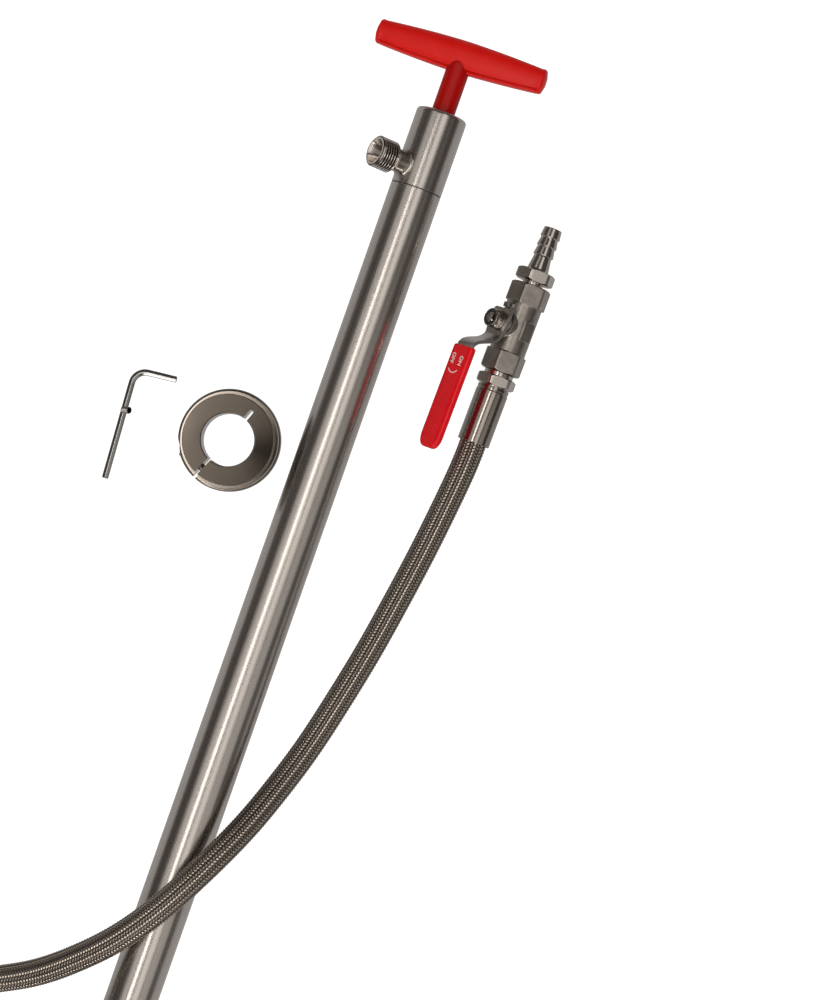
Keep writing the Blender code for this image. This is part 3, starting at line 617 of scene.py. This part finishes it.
def build_handle():
    count = 96
    bar = loose(grid([bar_row(-1 + 2 * k / count) for k in range(count + 1)]), HANDLE)
    lower = []
    for k in range(49):
        share = (-1 + 2 * k / 48) * 0.93
        row = []
        for i in range(16):
            turn = 2 * math.pi * i / 16
            out = math.copysign(abs(math.cos(turn)) ** 0.6, math.cos(turn)) * 0.8
            wide = math.copysign(abs(math.sin(turn)) ** 0.6, math.sin(turn)) * 3.4
            row.append((wide, share * BAR_HALF + BAR_OFF, BAR_MID - bar_reach(share) + 0.6 + out))
        lower.append(row)
    combine(bar, grid(lower), HANDLE, "UNION")
    finish(bar, "t_handle", RED, "plunger", "handle", 45)
    top = BAR_MID - 1.5
    outline = [(top, 0), (top, STEM_R, 5), (STEM_END, STEM_R, 0.5), (STEM_END, 5.9, 0.3), (66, 5.9), (66, 0)]
    # the stem takes the darker painted-shade copy of the handle's red
    finish(loose(turned(rounded(outline, pieces=8)), HANDLE), "t_handle_stem", PAINTED_SHADE_RED, "plunger")


def build_rod():
    outline = [(64, 0), (64, 4, 0.4), (46.5, 4), (46.5, ROD_R, 0.3), (-833.7, ROD_R), (-833.7, 0)]
    finish(loose(turned(rounded(outline), 64), PUMP), "plunger_rod", POLISHED, "plunger", "piston_rod")


# -------- discharge valve


def hex_solid(low, high, flats, chamfers=(True, True)):
    def outline(angle):
        return [(high, 0), *rounded(hex_sides(angle, low, high, flats, chamfers)), (low, 0)]

    return turned(outline)


def build_valve_body():
    """The casting with its soft inside corners, bored through and for the stem."""
    body = loose(hex_solid(BODY_START, BODY_START + 13, BODY_FLATS, (True, False)), VALVE)
    far = hex_solid(BODY_END - 13, BODY_END, BODY_FLATS, (False, True))
    barrel = rod_mesh(BODY_START + 12, BODY_END - 12, 11.3)
    boss, neck = rod_mesh(0, 11.4, 8.6), rod_mesh(0, 13.6, 6.8)
    pad = block((0, -8.9, STEM_AT + 0.6), (7.4, 5.6, 11.5))
    stop_lug = block((-11.2, 0, 12.6), (3.2, 5.0, 4.6))
    lug_root = block((-9.8, 0, 10.2), (6.0, 6.4, 3.0))
    joined = [(far, VALVE), (barrel, VALVE), (boss, STEM), (neck, STEM)]
    for mesh, matrix in (*joined, (pad, VALVE), (stop_lug, STEM), (lug_root, STEM)):
        combine(body, mesh, matrix, "UNION")
    bore = [(BODY_END + 1, 0), (BODY_END + 1, 8.8), (57.3, 8.8), (57.3, 4.5), (50, 4.5), (50, 6.8)]
    bore += [(BODY_START - 1, 6.8), (BODY_START - 1, 0)]
    combine(body, turned(bore, 96), VALVE)
    stem_hole = [(15, 0), (15, 5.5), (11, 5.5), (11, 3.4), (9.7, 3.4), (9.7, 4.8), (1, 4.8), (1, 0)]
    combine(body, turned(stem_hole, 64), STEM)
    remesh = body.modifiers.new("skin", "REMESH")
    remesh.mode, remesh.voxel_size = "VOXEL", VOXEL * MM
    smooth = body.modifiers.new("cast_corners", "SMOOTH")
    smooth.factor, smooth.iterations = 0.5, 1
    settle(body)
    finish(body, "valve_casting", CAST, "hose_assembly", "valve_body", 60, False)


def barb_outline(angle):
    outline = [(48, 4), (48, 6.4), (35.4, 6.4)]
    outline += hex_sides(angle, 28, 35.4, NUT_FLATS)
    outline += [(28, 7.3), (26.8, 6.75, 0.5), (18.7, 5.6), (17.9, 6.55, 0.2), (12.5, 5.6), (11.8, 6.45, 0.2)]
    outline += [(6.7, 5.45), (6.0, 6.3, 0.2), (0.4, 5.7, 0.2), (0, 5.2, 0.1), (0, 4, 0.1)]
    return rounded(outline)


def nipple_outline(angle):
    outline = [(136, 3.5), (136, 4.6), (104.6, 4.6), (104.6, 8.6), (103.8, 8.6)]
    outline += hex_sides(angle, 97.2, 103.8, NUT_FLATS)
    outline += [(97.2, 9.2), (94.7, 9.2, 0.2), (94.7, 6.4), (82, 6.4), (82, 3.5)]
    return rounded(outline)


def ferrule_outline(low, high):
    """A crimped sleeve whose mouth is at high, with a groove near its other end."""
    r = FERRULE_R
    outline = [(high - 9, 4.9), (high - 9, 8.95), (high, 8.95, 0.2), (high, r, 0.5), (low + 3.3, r, 0.25)]
    outline += [(low + 2.8, r - 0.45, 0.1), (low + 2.3, r - 0.45, 0.1), (low + 2.0, r - 0.15, 0.1)]
    outline += [(low + 0.1, r - 0.25, 0.4), (low, 4.9)]
    return rounded(outline)


def build_fittings():
    finish(loose(turned(barb_outline), VALVE), "barb_nozzle", BRIGHT, "hose_assembly", "hose_barb")
    finish(loose(turned(nipple_outline), VALVE), "hose_nipple", BRIGHT, "hose_assembly", "valve_end_nipple")
    ferrule = loose(turned(ferrule_outline(FERRULE_START, FERRULE_END)), VALVE)
    finish(ferrule, "valve_end_sleeve", SLEEVE, "hose_assembly", "valve_end_ferrule")


def smooth_line(points, step):
    """Points every `step` or so along a Catmull-Rom curve through the given ones."""
    points = [np.array(p, float) for p in points]
    ends = [points[0] * 2 - points[1], *points, points[-1] * 2 - points[-2]]
    line = [points[0]]
    for a, b, c, d in zip(ends, ends[1:], ends[2:], ends[3:]):
        pieces = max(1, round(float(np.linalg.norm((c - b)[:3])) / step))
        for k in range(1, pieces + 1):
            t = k / pieces
            square, cube = 2 * a - 5 * b + 4 * c - d, 3 * b - a - 3 * c + d
            line.append((2 * b + (c - a) * t + square * t**2 + cube * t**3) / 2)
    return line


def build_lever():
    """The strap: a plate on the stem, an S-bend outwards and the tongue inside the grip."""
    low, high, half = 15.4, GRIP_OUT, 1.1
    path = [(-8.5, low, 12.6), (-7, low, 15.2), (-4, low, 16.6), (3, low, 16.6), (7, low, 15.4)]
    path += [(9.6, low + 0.4, 14.8), (12.2, low + 2.6, 14.5), (14.4, 21.5, 14.2), (16.4, 27, 14)]
    path += [(18.2, high - 2.9, 14), (20.6, high - 0.6, 14), (24, high, 14), (40, high, 13.6)]
    path += [(60, high, 13.6), (GRIP_START - STEM_AT + GRIP_LENGTH - 4, high, 12)]
    line = smooth_line(path, 0.9)
    rows = []
    for i, (along, out, width) in enumerate(line):
        before, after = line[max(i - 1, 0)], line[min(i + 1, len(line) - 1)]
        slope = np.array((after[0] - before[0], after[1] - before[1]))
        normal = np.array((-slope[1], slope[0])) / np.linalg.norm(slope)
        ring = []
        for side, turn in ((1, 1), (-1, 1), (-1, -1), (1, -1)):
            for k in range(4):
                angle = math.pi / 2 * k / 3 if side * turn > 0 else math.pi / 2 * (1 - k / 3)
                y = side * (width / 2 - 0.5 + 0.5 * math.cos(angle))
                lift = turn * (half - 0.5 + 0.5 * math.sin(angle))
                ring.append((along + normal[0] * lift, y, out + normal[1] * lift))
        rows.append(ring)
    arm = loose(grid(rows), STEM)
    turned_lip = block((-0.6, 7.4, 15.2), (19.5, 1.6, 2.6))
    combine(arm, turned_lip, STEM, "UNION")
    combine(arm, rod_mesh(10, 20, 3.3), STEM)
    soften(arm, 0.3, 2, 55)
    finish(arm, "lever_strap", BRUSHED_FLAT, "valve_lever", "lever_arm", 40)


def grip_rows():
    rows = []
    last = 44
    for k in range(last + 1):
        along = GRIP_LENGTH * (0.5 - 0.5 * math.cos(math.pi * k / last))
        near, far = along / 2.2, (GRIP_LENGTH - along) / 8.5
        start = math.sqrt(max(0.0, 1 - (1 - min(near, 1)) ** 2))
        end = math.sqrt(max(0.0, 1 - (1 - min(far, 1)) ** 2))
        tip = min((GRIP_LENGTH - along) / 1.8, along / 0.7, 1.0)
        half_w = GRIP_WIDTH / 2 * (0.84 + 0.16 * start) * (0.34 + 0.66 * end)
        half_t = GRIP_THICK / 2 * (0.5 + 0.5 * math.sqrt(max(0.0, 1 - (1 - tip) ** 2)))
        row = []
        for i in range(40):
            turn = 2 * math.pi * i / 40
            c, s = math.cos(turn), math.sin(turn)
            y = math.copysign(abs(c) ** 0.32, c) * half_w
            out = math.copysign(abs(s) ** 0.55, s) * half_t
            row.append((GRIP_START - STEM_AT + along, y, GRIP_OUT + out))
        rows.append(row)
    return rows


def build_grip():
    finish(loose(grid(grip_rows()), STEM), "vinyl_grip", VINYL, "valve_lever", "lever_grip", 60)
    start, surface = GRIP_START - STEM_AT, GRIP_OUT + GRIP_THICK / 2
    for word, along, across in (("ON", 6.6, 3.0), ("OFF", 5.6, -4.2)):
        data = bpy.data.curves.new("word", "FONT")
        data.body, data.size, data.extrude, data.offset = word, 4.0 * MM, 0.04 * MM, 0.05 * MM
        data.align_x, data.align_y = "LEFT", "CENTER"
        where = STEM @ Matrix.Translation(Vector((start + along, across, surface)) * MM)
        text = loose(data, where)
        finish(loose(made_mesh(text), where), "mark_" + word.lower(), WHITE_INK, "valve_lever")
        bpy.data.objects.remove(text, do_unlink=True)
    rows = []
    for k in range(25):
        turn = math.radians(-58 + 116 * k / 24)
        middle = Vector((start + 13.6 + 4.4 * math.cos(turn), 4.6 * math.sin(turn) - 0.8, surface))
        outward = Vector((math.cos(turn), math.sin(turn), 0))
        corners = ((-0.25, -0.04), (0.25, -0.04), (0.25, 0.04), (-0.25, 0.04))
        rows.append([middle + outward * x + UP * z for x, z in corners])
    finish(loose(grid(rows), STEM), "mark_arc", WHITE_INK, "valve_lever")


def nut_outline(angle):
    """A locknut: the hexagon, then a round collar that holds the nylon ring."""
    side = hex_radius(angle, 11.6)
    outline = [(22.6, 5.15), (23.3, 5.15, 0.1), (23.3, 5.75, 0.4), (21.6, 6.0, 0.2), (21.3, 5.6, 0.1)]
    outline += [(21.0, 5.7, 0), (20.6, side, 0.05), (18.2, side, 0.05), (17.9, 5.6), (17.9, 3.35)]
    return rounded([*outline, (22.6, 3.35)])


def build_lever_hardware():
    finish(loose(turned(nut_outline), STEM), "lever_lock_nut", BRIGHT, "valve_lever", "lever_nut")
    ring = [(23.1, 3.25, 0.3), (23.1, 5.2, 0.3), (22.5, 5.2), (22.5, 3.25)]
    finish(loose(turned(rounded(ring), 64), STEM), "nylon_ring", NYLON, "valve_lever", "nut_lock_ring")
    outline = rounded([(17.9, 3.3), (17.9, 6.4, 0.2), (16.7, 6.4, 0.2), (16.7, 3.3)])
    finish(loose(turned(outline, 64), STEM), "lever_flat_washer", BRIGHT, "valve_lever", "lever_washer")

    def shaft(angle):
        sides = thread_sides(angle, 11, 23.2, 3.15, 0.35, 0.9, 6)
        foot = [(9.2, 3), (9.2, 4.4), (7.6, 4.4), (7.6, 0)]
        return rounded([(23.9, 0), (23.9, 2.6, 0.2), *sides, *foot])

    stem = loose(turned(shaft, 48), STEM)
    for side in (-1, 1):
        combine(stem, block((0, side * 4.2, 22.5), (8, 3.4, 5)), STEM)
    finish(stem, "valve_spindle", BRIGHT, "valve_lever", "valve_stem")


# -------- hose

HOSE_ROUTE = (
    (-157.0, -83.9, 12.7),
    (-181.0, -81.4, 11.0),
    (-210.0, -77.8, 9.3),
    (-243.0, -72.8, 8.8),
    (-278.0, -66.8, 8.8),
    (-312.0, -59.6, 8.8),
    (-345.0, -51.6, 9.8),
    (-373.0, -42.8, 15.6),
    (-402.0, -31.8, 26.2),
    (-431.0, -17.8, 36.8),
    (-464.0, 0.4, 41.0),
    (-491.0, 19.2, 37.3),
    (-514.0, 40.2, 27.6),
    (-532.0, 60.8, 17.6),
    (-546.0, 84.0, 10.7),
    (-557.0, 108.0, 8.8),
    (-567.0, 134.0, 8.8),
)
COIL_CENTRE, COIL_R, COIL_TURN = (-672.0, 138.6), 104.0, math.radians(256)
COIL_START, INNER_R, INNER_TURN = math.radians(19), 78.0, math.radians(125)
COIL_POINTS, INNER_POINTS = 16, 9
HOSE_Z, FITTING_Z = 8.8, 12.4


def arc_points(centre, radius, start, turn, count):
    for k in range(count + 1):
        angle = start + turn * k / count
        yield centre[0] + radius * math.cos(angle), centre[1] + radius * math.sin(angle)


def hose_points():
    """The centreline in millimetres from the pump's joint, over its tube and round the coil beyond it."""
    out = (valve_tip - KIT) / MM
    exit_at = out + valve_way * (FERRULE_END + 0.4)
    points = [exit_at, exit_at + valve_way * 8, *(Vector(p) for p in HOSE_ROUTE)]
    inner_start = COIL_START + COIL_TURN
    share = COIL_R - INNER_R
    inner = (COIL_CENTRE[0] + share * math.cos(inner_start), COIL_CENTRE[1] + share * math.sin(inner_start))
    turns = list(arc_points(COIL_CENTRE, COIL_R, COIL_START, COIL_TURN, COIL_POINTS))
    turns += list(arc_points(inner, INNER_R, inner_start, INNER_TURN, INNER_POINTS))[1:]
    last = len(turns) - 1
    for k, (x, y) in enumerate(turns):
        lift = min(1.0, max(0.0, 1 - (last - 1 - k) / 3))
        points.append(Vector((x, y, HOSE_Z + (FITTING_Z - HOSE_Z) * lift * lift * (3 - 2 * lift))))
    return points


def hose_frames():
    """Distance, place and two sideways directions along the hose, carried along without twisting."""
    line = np.array(smooth_line(hose_points(), 1.0))
    hidden = 5.0
    start, end = line[0] - line[1], line[-1] - line[-2]
    end[2] = 0
    before = line[0] + start / np.linalg.norm(start) * hidden
    beyond = line[-1] + end / np.linalg.norm(end) * hidden
    line = np.vstack((before, line, beyond))
    steps = np.linalg.norm(np.diff(line, axis=0), axis=1)
    along = np.concatenate(((0,), np.cumsum(steps)))
    even = np.linspace(0, along[-1], int(along[-1]) + 1)
    line = np.stack([np.interp(even, along, line[:, i]) for i in range(3)], axis=1)
    heading = np.gradient(line, axis=0)
    heading /= np.linalg.norm(heading, axis=1)[:, None]
    side = np.zeros_like(line)
    side[0] = np.cross(heading[0], (0, 0, 1))
    for k in range(1, len(line)):
        carried = side[k - 1] - heading[k] * side[k - 1].dot(heading[k])
        side[k] = carried / np.linalg.norm(carried)
    return even, line, side, np.cross(heading, side)


def on_hose(frames, along, angle, radius):
    """Places at these distances, angles and radii about the hose."""
    even, *rows = frames
    middle, side, other = (
        np.stack([np.interp(along, even, row[:, i]) for i in range(3)], axis=-1) for row in rows
    )
    outward = side * np.cos(angle)[..., None] + other * np.sin(angle)[..., None]
    return middle + outward * np.asarray(radius)[..., None]


def braid_mesh(frames, lean):
    """One set of strands where they show: each goes over two others, in columns that run along the hose."""
    length = frames[0][-1]
    half_turn = math.pi / STRANDS
    spacing = BRAID_PITCH / 2
    lay = math.atan(math.pi * HOSE_R / STRANDS / spacing)
    strand = 2 * math.pi * HOSE_R / STRANDS * math.cos(lay)
    reach = 2 * spacing / math.cos(lay)
    centres = []
    for column in range(STRANDS // 2):
        p, shift = (4 * column + 0.5, 0.5) if lean > 0 else (4 * column + 2.5, 1.5)
        rows = np.arange(shift + 2, length / spacing - 2, 2)
        centres.append(np.stack((rows * spacing, np.full(len(rows), p * half_turn)), axis=1))
    centres = np.concatenate(centres)
    far, wide_share = 0.6, 0.44
    along_share = np.array((-far, -0.42, -0.2, 0.0, 0.2, 0.42, far))
    across_share = np.array((-wide_share, 0.0, wide_share))
    ends, sides = np.array((-0.9, -0.38, -0.04, 0.08, -0.04, -0.38, -0.9)), np.array((-0.34, 0.0, -0.34))
    lift = ends[:, None] + sides[None, :]
    u, v = np.meshgrid(along_share * reach, across_share * strand, indexing="ij")
    along = centres[:, 0, None, None] + (u * math.cos(lay) - lean * v * math.sin(lay))[None]
    angle = centres[:, 1, None, None] + ((lean * u * math.sin(lay) + v * math.cos(lay)) / HOSE_R)[None]
    points = on_hose(frames, np.clip(along, 0, length), angle, np.broadcast_to(HOSE_R + lift, along.shape))
    count, wide = len(along_share), len(across_share)
    quads = []
    for i in range(count - 1):
        for j in range(wide - 1):
            a = i * wide + j
            quads.append((a, a + wide, a + wide + 1, a + 1))
    faces = np.array(quads)[None] + count * wide * np.arange(len(centres))[:, None, None]
    mesh = bpy.data.meshes.new("braid")
    vertices = (points.reshape(-1, 3) * MM + np.array(KIT)).astype(np.float32)
    mesh.from_pydata(vertices.tolist(), [], faces.reshape(-1, 4).tolist())
    maps = mesh.uv_layers.new(name="UVMap")
    flat_u = np.tile(np.repeat((along_share + far) / (2 * far), wide), len(centres))
    flat_v = np.tile((across_share + wide_share) / (2 * wide_share), count * len(centres))
    corner = faces.reshape(-1)
    flat = np.stack((flat_u[corner], flat_v[corner]), axis=1)
    maps.data.foreach_set("uv", flat.astype(np.float32).ravel())
    return mesh


def liner_mesh(frames):
    length = frames[0][-1]
    sides = 32
    angles = np.arange(sides) * 2 * math.pi / sides
    rows = []
    for along in np.linspace(0, length, int(length / 4)):
        rows.append(on_hose(frames, np.full(sides, along), angles, np.full(sides, 8.0)) + np.array(KIT) / MM)
    return grid(rows)


def build_hose(end_pieces):
    frames = hose_frames()
    liner = finish(loose(liner_mesh(frames), WORLD), "hose_liner", LINER, "hose_assembly")
    # the left lay takes the darker painted-shade copy of the wire
    for name, lean, look in (("hose_braid_right_lay", 1, WIRE), ("hose_braid_left_lay", -1, PAINTED_SHADE_WIRE)):
        lay = loose(braid_mesh(frames, lean), WORLD)
        finish(lay, name, look, "hose_assembly", None, 180, False)
    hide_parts("discharge_hose")


def build_far_end():
    sleeve = loose(turned(ferrule_outline(37, 0.4)), END)
    finish(sleeve, "pump_end_sleeve", SLEEVE, "hose_assembly", "pump_end_ferrule")
    cone = [(52, 3.5), (52, 5.4, 0.2), (48.4, 8.7, 0.3), (45.5, 8.7, 0.3), (44, 6.8)]
    nipple = loose(turned(rounded([*cone, (37.3, 6.8), (37.3, 4.6), (6, 4.6), (6, 3.5)])), END)
    finish(nipple, "cone_nipple", BRIGHT, "hose_assembly", "pump_end_nipple")

    def outline(angle):
        inner = thread_sides(angle, 45, 58.6, 9.35, -0.8, 1.5)[::-1]
        sides = hex_sides(angle, 40.5, 59.5, 24.0)
        shoulder = [(40.5, 7.2, 0.2), (43.4, 7.2), (43.4, 10.2), (44.6, 10.2)]
        return rounded([(59.5, 10.2, 0.2), *sides, *shoulder, *inner])

    nut = loose(turned(outline), END)
    finish(nut, "union_nut_threaded", BRIGHT, "outlet_union", "union_nut")
    return [sleeve, nipple, nut]


# -------- accessories


def build_collar():
    """A split ring: a plug on a flange, with a slot to flex at across from its slit."""
    base, plug_r = 0.15, PLUG_R + 0.2
    outline = [(COLLAR_H, plug_r, 0.4), (FLANGE_H, plug_r, 0.3), (FLANGE_H, FLANGE_R, 3.0)]
    outline += [(base, FLANGE_R, 0.7), (base, COLLAR_BORE_R, 0.6), (COLLAR_H, COLLAR_BORE_R, 0.8)]
    collar = loose(turned(rounded(outline, pieces=6), 192), COLLAR)
    slit = Matrix.Rotation(SLIT_ANGLE, 4, "Z")
    combine(collar, block((25, 0, 12), (22, SLIT_WIDTH, 40)), COLLAR @ slit)
    flex = Matrix.Rotation(FLEX_ANGLE, 4, "Z")
    combine(collar, block((15.05, 0, 12), (14.1, FLEX_WIDTH, 40)), COLLAR @ flex)
    flex_end = flex @ Matrix.Translation((22.1 * MM, 0, 0))
    combine(collar, rod_mesh(-1, 30, FLEX_WIDTH / 2, 32), COLLAR @ flex_end)
    screw_hole = [(34, 0), (34, 4.35), (11.6, 4.35), (11.6, 2.8), (-14, 2.8), (-14, 0)]
    combine(collar, turned(screw_hole, 48), CLAMP)
    soften(collar, 0.3, 2, 50)
    finish(collar, "split_collar", TURNED, "collar", "clamp_collar", 40)


def bolt_outline(angle):
    head_top, socket = 16.9, hex_radius(angle, 4.0, 0.05)
    outline = [(14.2, 0), (14.2, socket), (head_top, socket, 0.1), (head_top, 4.25, 0.4), (11.9, 4.25, 0.1)]
    outline += [(11.9, 2.5, 0), *thread_sides(angle, -12.9, 8, 2.5, 0.35, 0.8, 6)]
    return rounded([*outline, (-13.4, 2.1, 0.1), (-13.4, 0)])


def build_clamp_screw():
    finish(loose(turned(bolt_outline, 48), CLAMP), "collar_bolt", BRIGHT, "collar_clamp", "clamp_screw")


def build_key():
    """The hexagonal bar lies on a corner, bent to an L."""
    lift = KEY_FLATS / math.sqrt(3)
    end, corner, tip = (Vector((*p, lift)) for p in (KEY_END, KEY_CORNER, KEY_TIP))
    long_way, short_way = (end - corner).normalized(), (tip - corner).normalized()
    angle = math.acos(long_way.dot(short_way))
    back = KEY_BEND_R / math.tan(angle / 2)
    centre = corner + (long_way + short_way).normalized() * (KEY_BEND_R / math.sin(angle / 2))
    a, b = corner + long_way * back - centre, corner + short_way * back - centre
    bend = [centre + a.normalized().slerp(b.normalized(), k / 20) * KEY_BEND_R for k in range(21)]
    path = [end, end - long_way * 0.35, *bend, tip - short_way * 0.35, tip]
    rows = []
    for i, point in enumerate(path):
        ahead = path[min(i + 1, len(path) - 1)] - path[max(i - 1, 0)]
        side = ahead.normalized().cross(UP)
        inset = 0.3 if i in (0, len(path) - 1) else 0.0
        ring = []
        for k in range(48):
            turn = 2 * math.pi * (k + 0.5) / 48
            radius = hex_radius(turn + math.pi / 6, KEY_FLATS, 0.14) - inset
            ring.append(point + side * radius * math.sin(turn) + UP * radius * math.cos(turn) + KIT / MM)
        rows.append(ring)
    finish(loose(grid(rows), WORLD), "allen_key", PLATED, "key", "hex_key", 28)


def build_set_screw():
    """The spare screw leans on the key, its socket up."""
    level = math.cos(GRUB_RISE)
    where = axes(KIT + Vector(GRUB_AT) * MM, (0.2 * level, -level, math.sin(GRUB_RISE)), ALONG)

    def outline(angle):
        socket = hex_radius(angle, GRUB_SOCKET, 0.03)
        face = [(3.4, 0), (3.4, socket), (6, socket, 0.1), (6, 1.95, 0.1)]
        sides = thread_sides(angle, 0.4, 5.7, 2.2, 0.3, 0.7, 8)
        return rounded([*face, *sides, (0, 1.9, 0.1), (0, 0)])

    finish(loose(turned(outline, 48), where), "grub_screw", GRUB_STEEL, "spare_screw", "set_screw")

    def dark_end_skin(angle):
        """A thin dark skin: painted shade in the socket, and dark on the face round it."""
        socket = hex_radius(angle, GRUB_SOCKET, 0.03)
        inner, outer = socket - 0.02, socket + 0.1
        skin = [(3.5, 0), (3.5, inner), (6.03, inner), (6.03, 1.9), (5.8, 1.9), (5.8, outer)]
        return [*skin, (3.45, outer), (3.45, 0)]

    finish(loose(turned(dark_end_skin, 48), where), "grub_socket", DARK_END, "spare_screw")


def paint_hidden_nodes():
    """The inner CAD pieces that stay as they are take the same finishes."""
    looks = {
        "ptfe": PTFE,
        "brass": BRASS,
        "bright_stainless": BRIGHT,
        "brushed_stainless": BRUSHED,
        "polished_stainless": POLISHED,
    }
    for row in frame["record"]["subparts"]:
        node = frame["nodes"][row["node"]]
        if not node.hide_render and row["material_slot"] in looks:
            node.data.materials.clear()
            # the head gasket takes the near-black painted-shade colour in place of its white PTFE
            gasket = row["node"] == "head_gasket"
            node.data.materials.append(PAINTED_SHADE_GASKET if gasket else looks[row["material_slot"]])


# -------- table, light and camera

CAMERA_OVER = KIT + Vector((-180.9, -61.4, 0)) * MM
CAMERA_HEIGHT = 1.593
IMAGE_TILT = math.radians(19.37)
LENS = 92.16


def build_camera():
    right = Vector((math.sin(IMAGE_TILT), -math.cos(IMAGE_TILT), 0))
    data = bpy.data.cameras.new("camera")
    data.lens, data.sensor_width = LENS, 36
    data.clip_end = 50
    bpy.context.scene.camera = loose(data, axes(CAMERA_OVER + UP * CAMERA_HEIGHT, UP, right))


def panel(name, place, aim, length, width, power, colour=(1, 0.97, 0.93)):
    """A soft light whose length runs along the pump, in metres and watts."""
    data = bpy.data.lights.new(name, "AREA")
    data.shape, data.size, data.size_y = "RECTANGLE", length, width
    data.energy, data.color = power, colour
    light = loose(data, axes(place, Vector(place) - Vector(aim), ALONG))
    light.visible_camera = False
    return light


def table_top(name, height, colour, glossy, glow):
    data = bpy.data.meshes.new(name)
    reach = 12.0
    corners = [(x * reach, y * reach, height) for x, y in ((-1, -1), (1, -1), (1, 1), (-1, 1))]
    data.from_pydata(corners, [], [(0, 1, 2, 3)])
    top = loose(data, WORLD)
    look = Look(name + "_look", colour, 0.9, 0.0, Specular_IOR_Level=0.0)
    look.vary_colour(look.noise(look.place, 3, 2), shade(colour, 0.995), colour)
    look.shader.inputs["Emission Color"].default_value = (1, 1, 1, 1)
    look.shader.inputs["Emission Strength"].default_value = glow
    data.materials.append(look.material)
    top.visible_glossy = top.visible_shadow = glossy


def build_studio():
    over = Vector((0.0, pump_at.y, 0.0))
    panel("left_strip", over + Vector((-1.05, 0.405, 2.0)), over + ALONG * -1.05, 3.5, 0.3, 16.5)
    panel("right_strip", over + Vector((0, -0.58, 2.0)), over, 3.6, 0.85, 11.5)
    panel("left_soft", over + Vector((0, 1.25, 1.9)), over, 3.4, 0.8, 5.5)
    panel("right_soft", over + Vector((-0.55, -1.9, 1.6)), over, 2.0, 1.4, 4.5)
    panel("foot_soft", over + Vector((-3.1, 0.1, 1.75)), over, 1.0, 2.2, 26.0)
    wash = panel("wash", over + Vector((0, 0.2, 2.6)), over, 3.6, 3.0, 66.0, (1, 0.99, 0.98))
    wash.visible_glossy = False
    table_top("table", 0.0, (0.25, 0.255, 0.26), False, 0.95)
    table_top("under_table", -0.02, (0.33, 0.325, 0.32), True, 0.0)
    world = bpy.data.worlds.new("room")
    bpy.context.scene.world = world
    world.use_nodes = True
    nodes, links = world.node_tree.nodes, world.node_tree.links
    room = nodes["Background"]
    room.inputs["Color"].default_value = (0.085, 0.076, 0.07, 1)
    pale = nodes.new("ShaderNodeBackground")
    pale.inputs["Color"].default_value = (0.9, 0.9, 0.9, 1)
    mix = nodes.new("ShaderNodeMixShader")
    links.new(nodes.new("ShaderNodeLightPath").outputs["Is Camera Ray"], mix.inputs[0])
    links.new(room.outputs[0], mix.inputs[1])
    links.new(pale.outputs[0], mix.inputs[2])
    links.new(mix.outputs[0], nodes["World Output"].inputs["Surface"])
    bpy.context.scene.view_settings.view_transform = "Standard"


build_camera()
build_tube()
build_head()
build_stub()
build_foot()
build_handle()
build_rod()
build_valve_body()
build_fittings()
build_lever()
build_grip()
build_lever_hardware()
build_hose(build_far_end())
build_collar()
build_clamp_screw()
build_key()
build_set_screw()
paint_hidden_nodes()
build_studio()
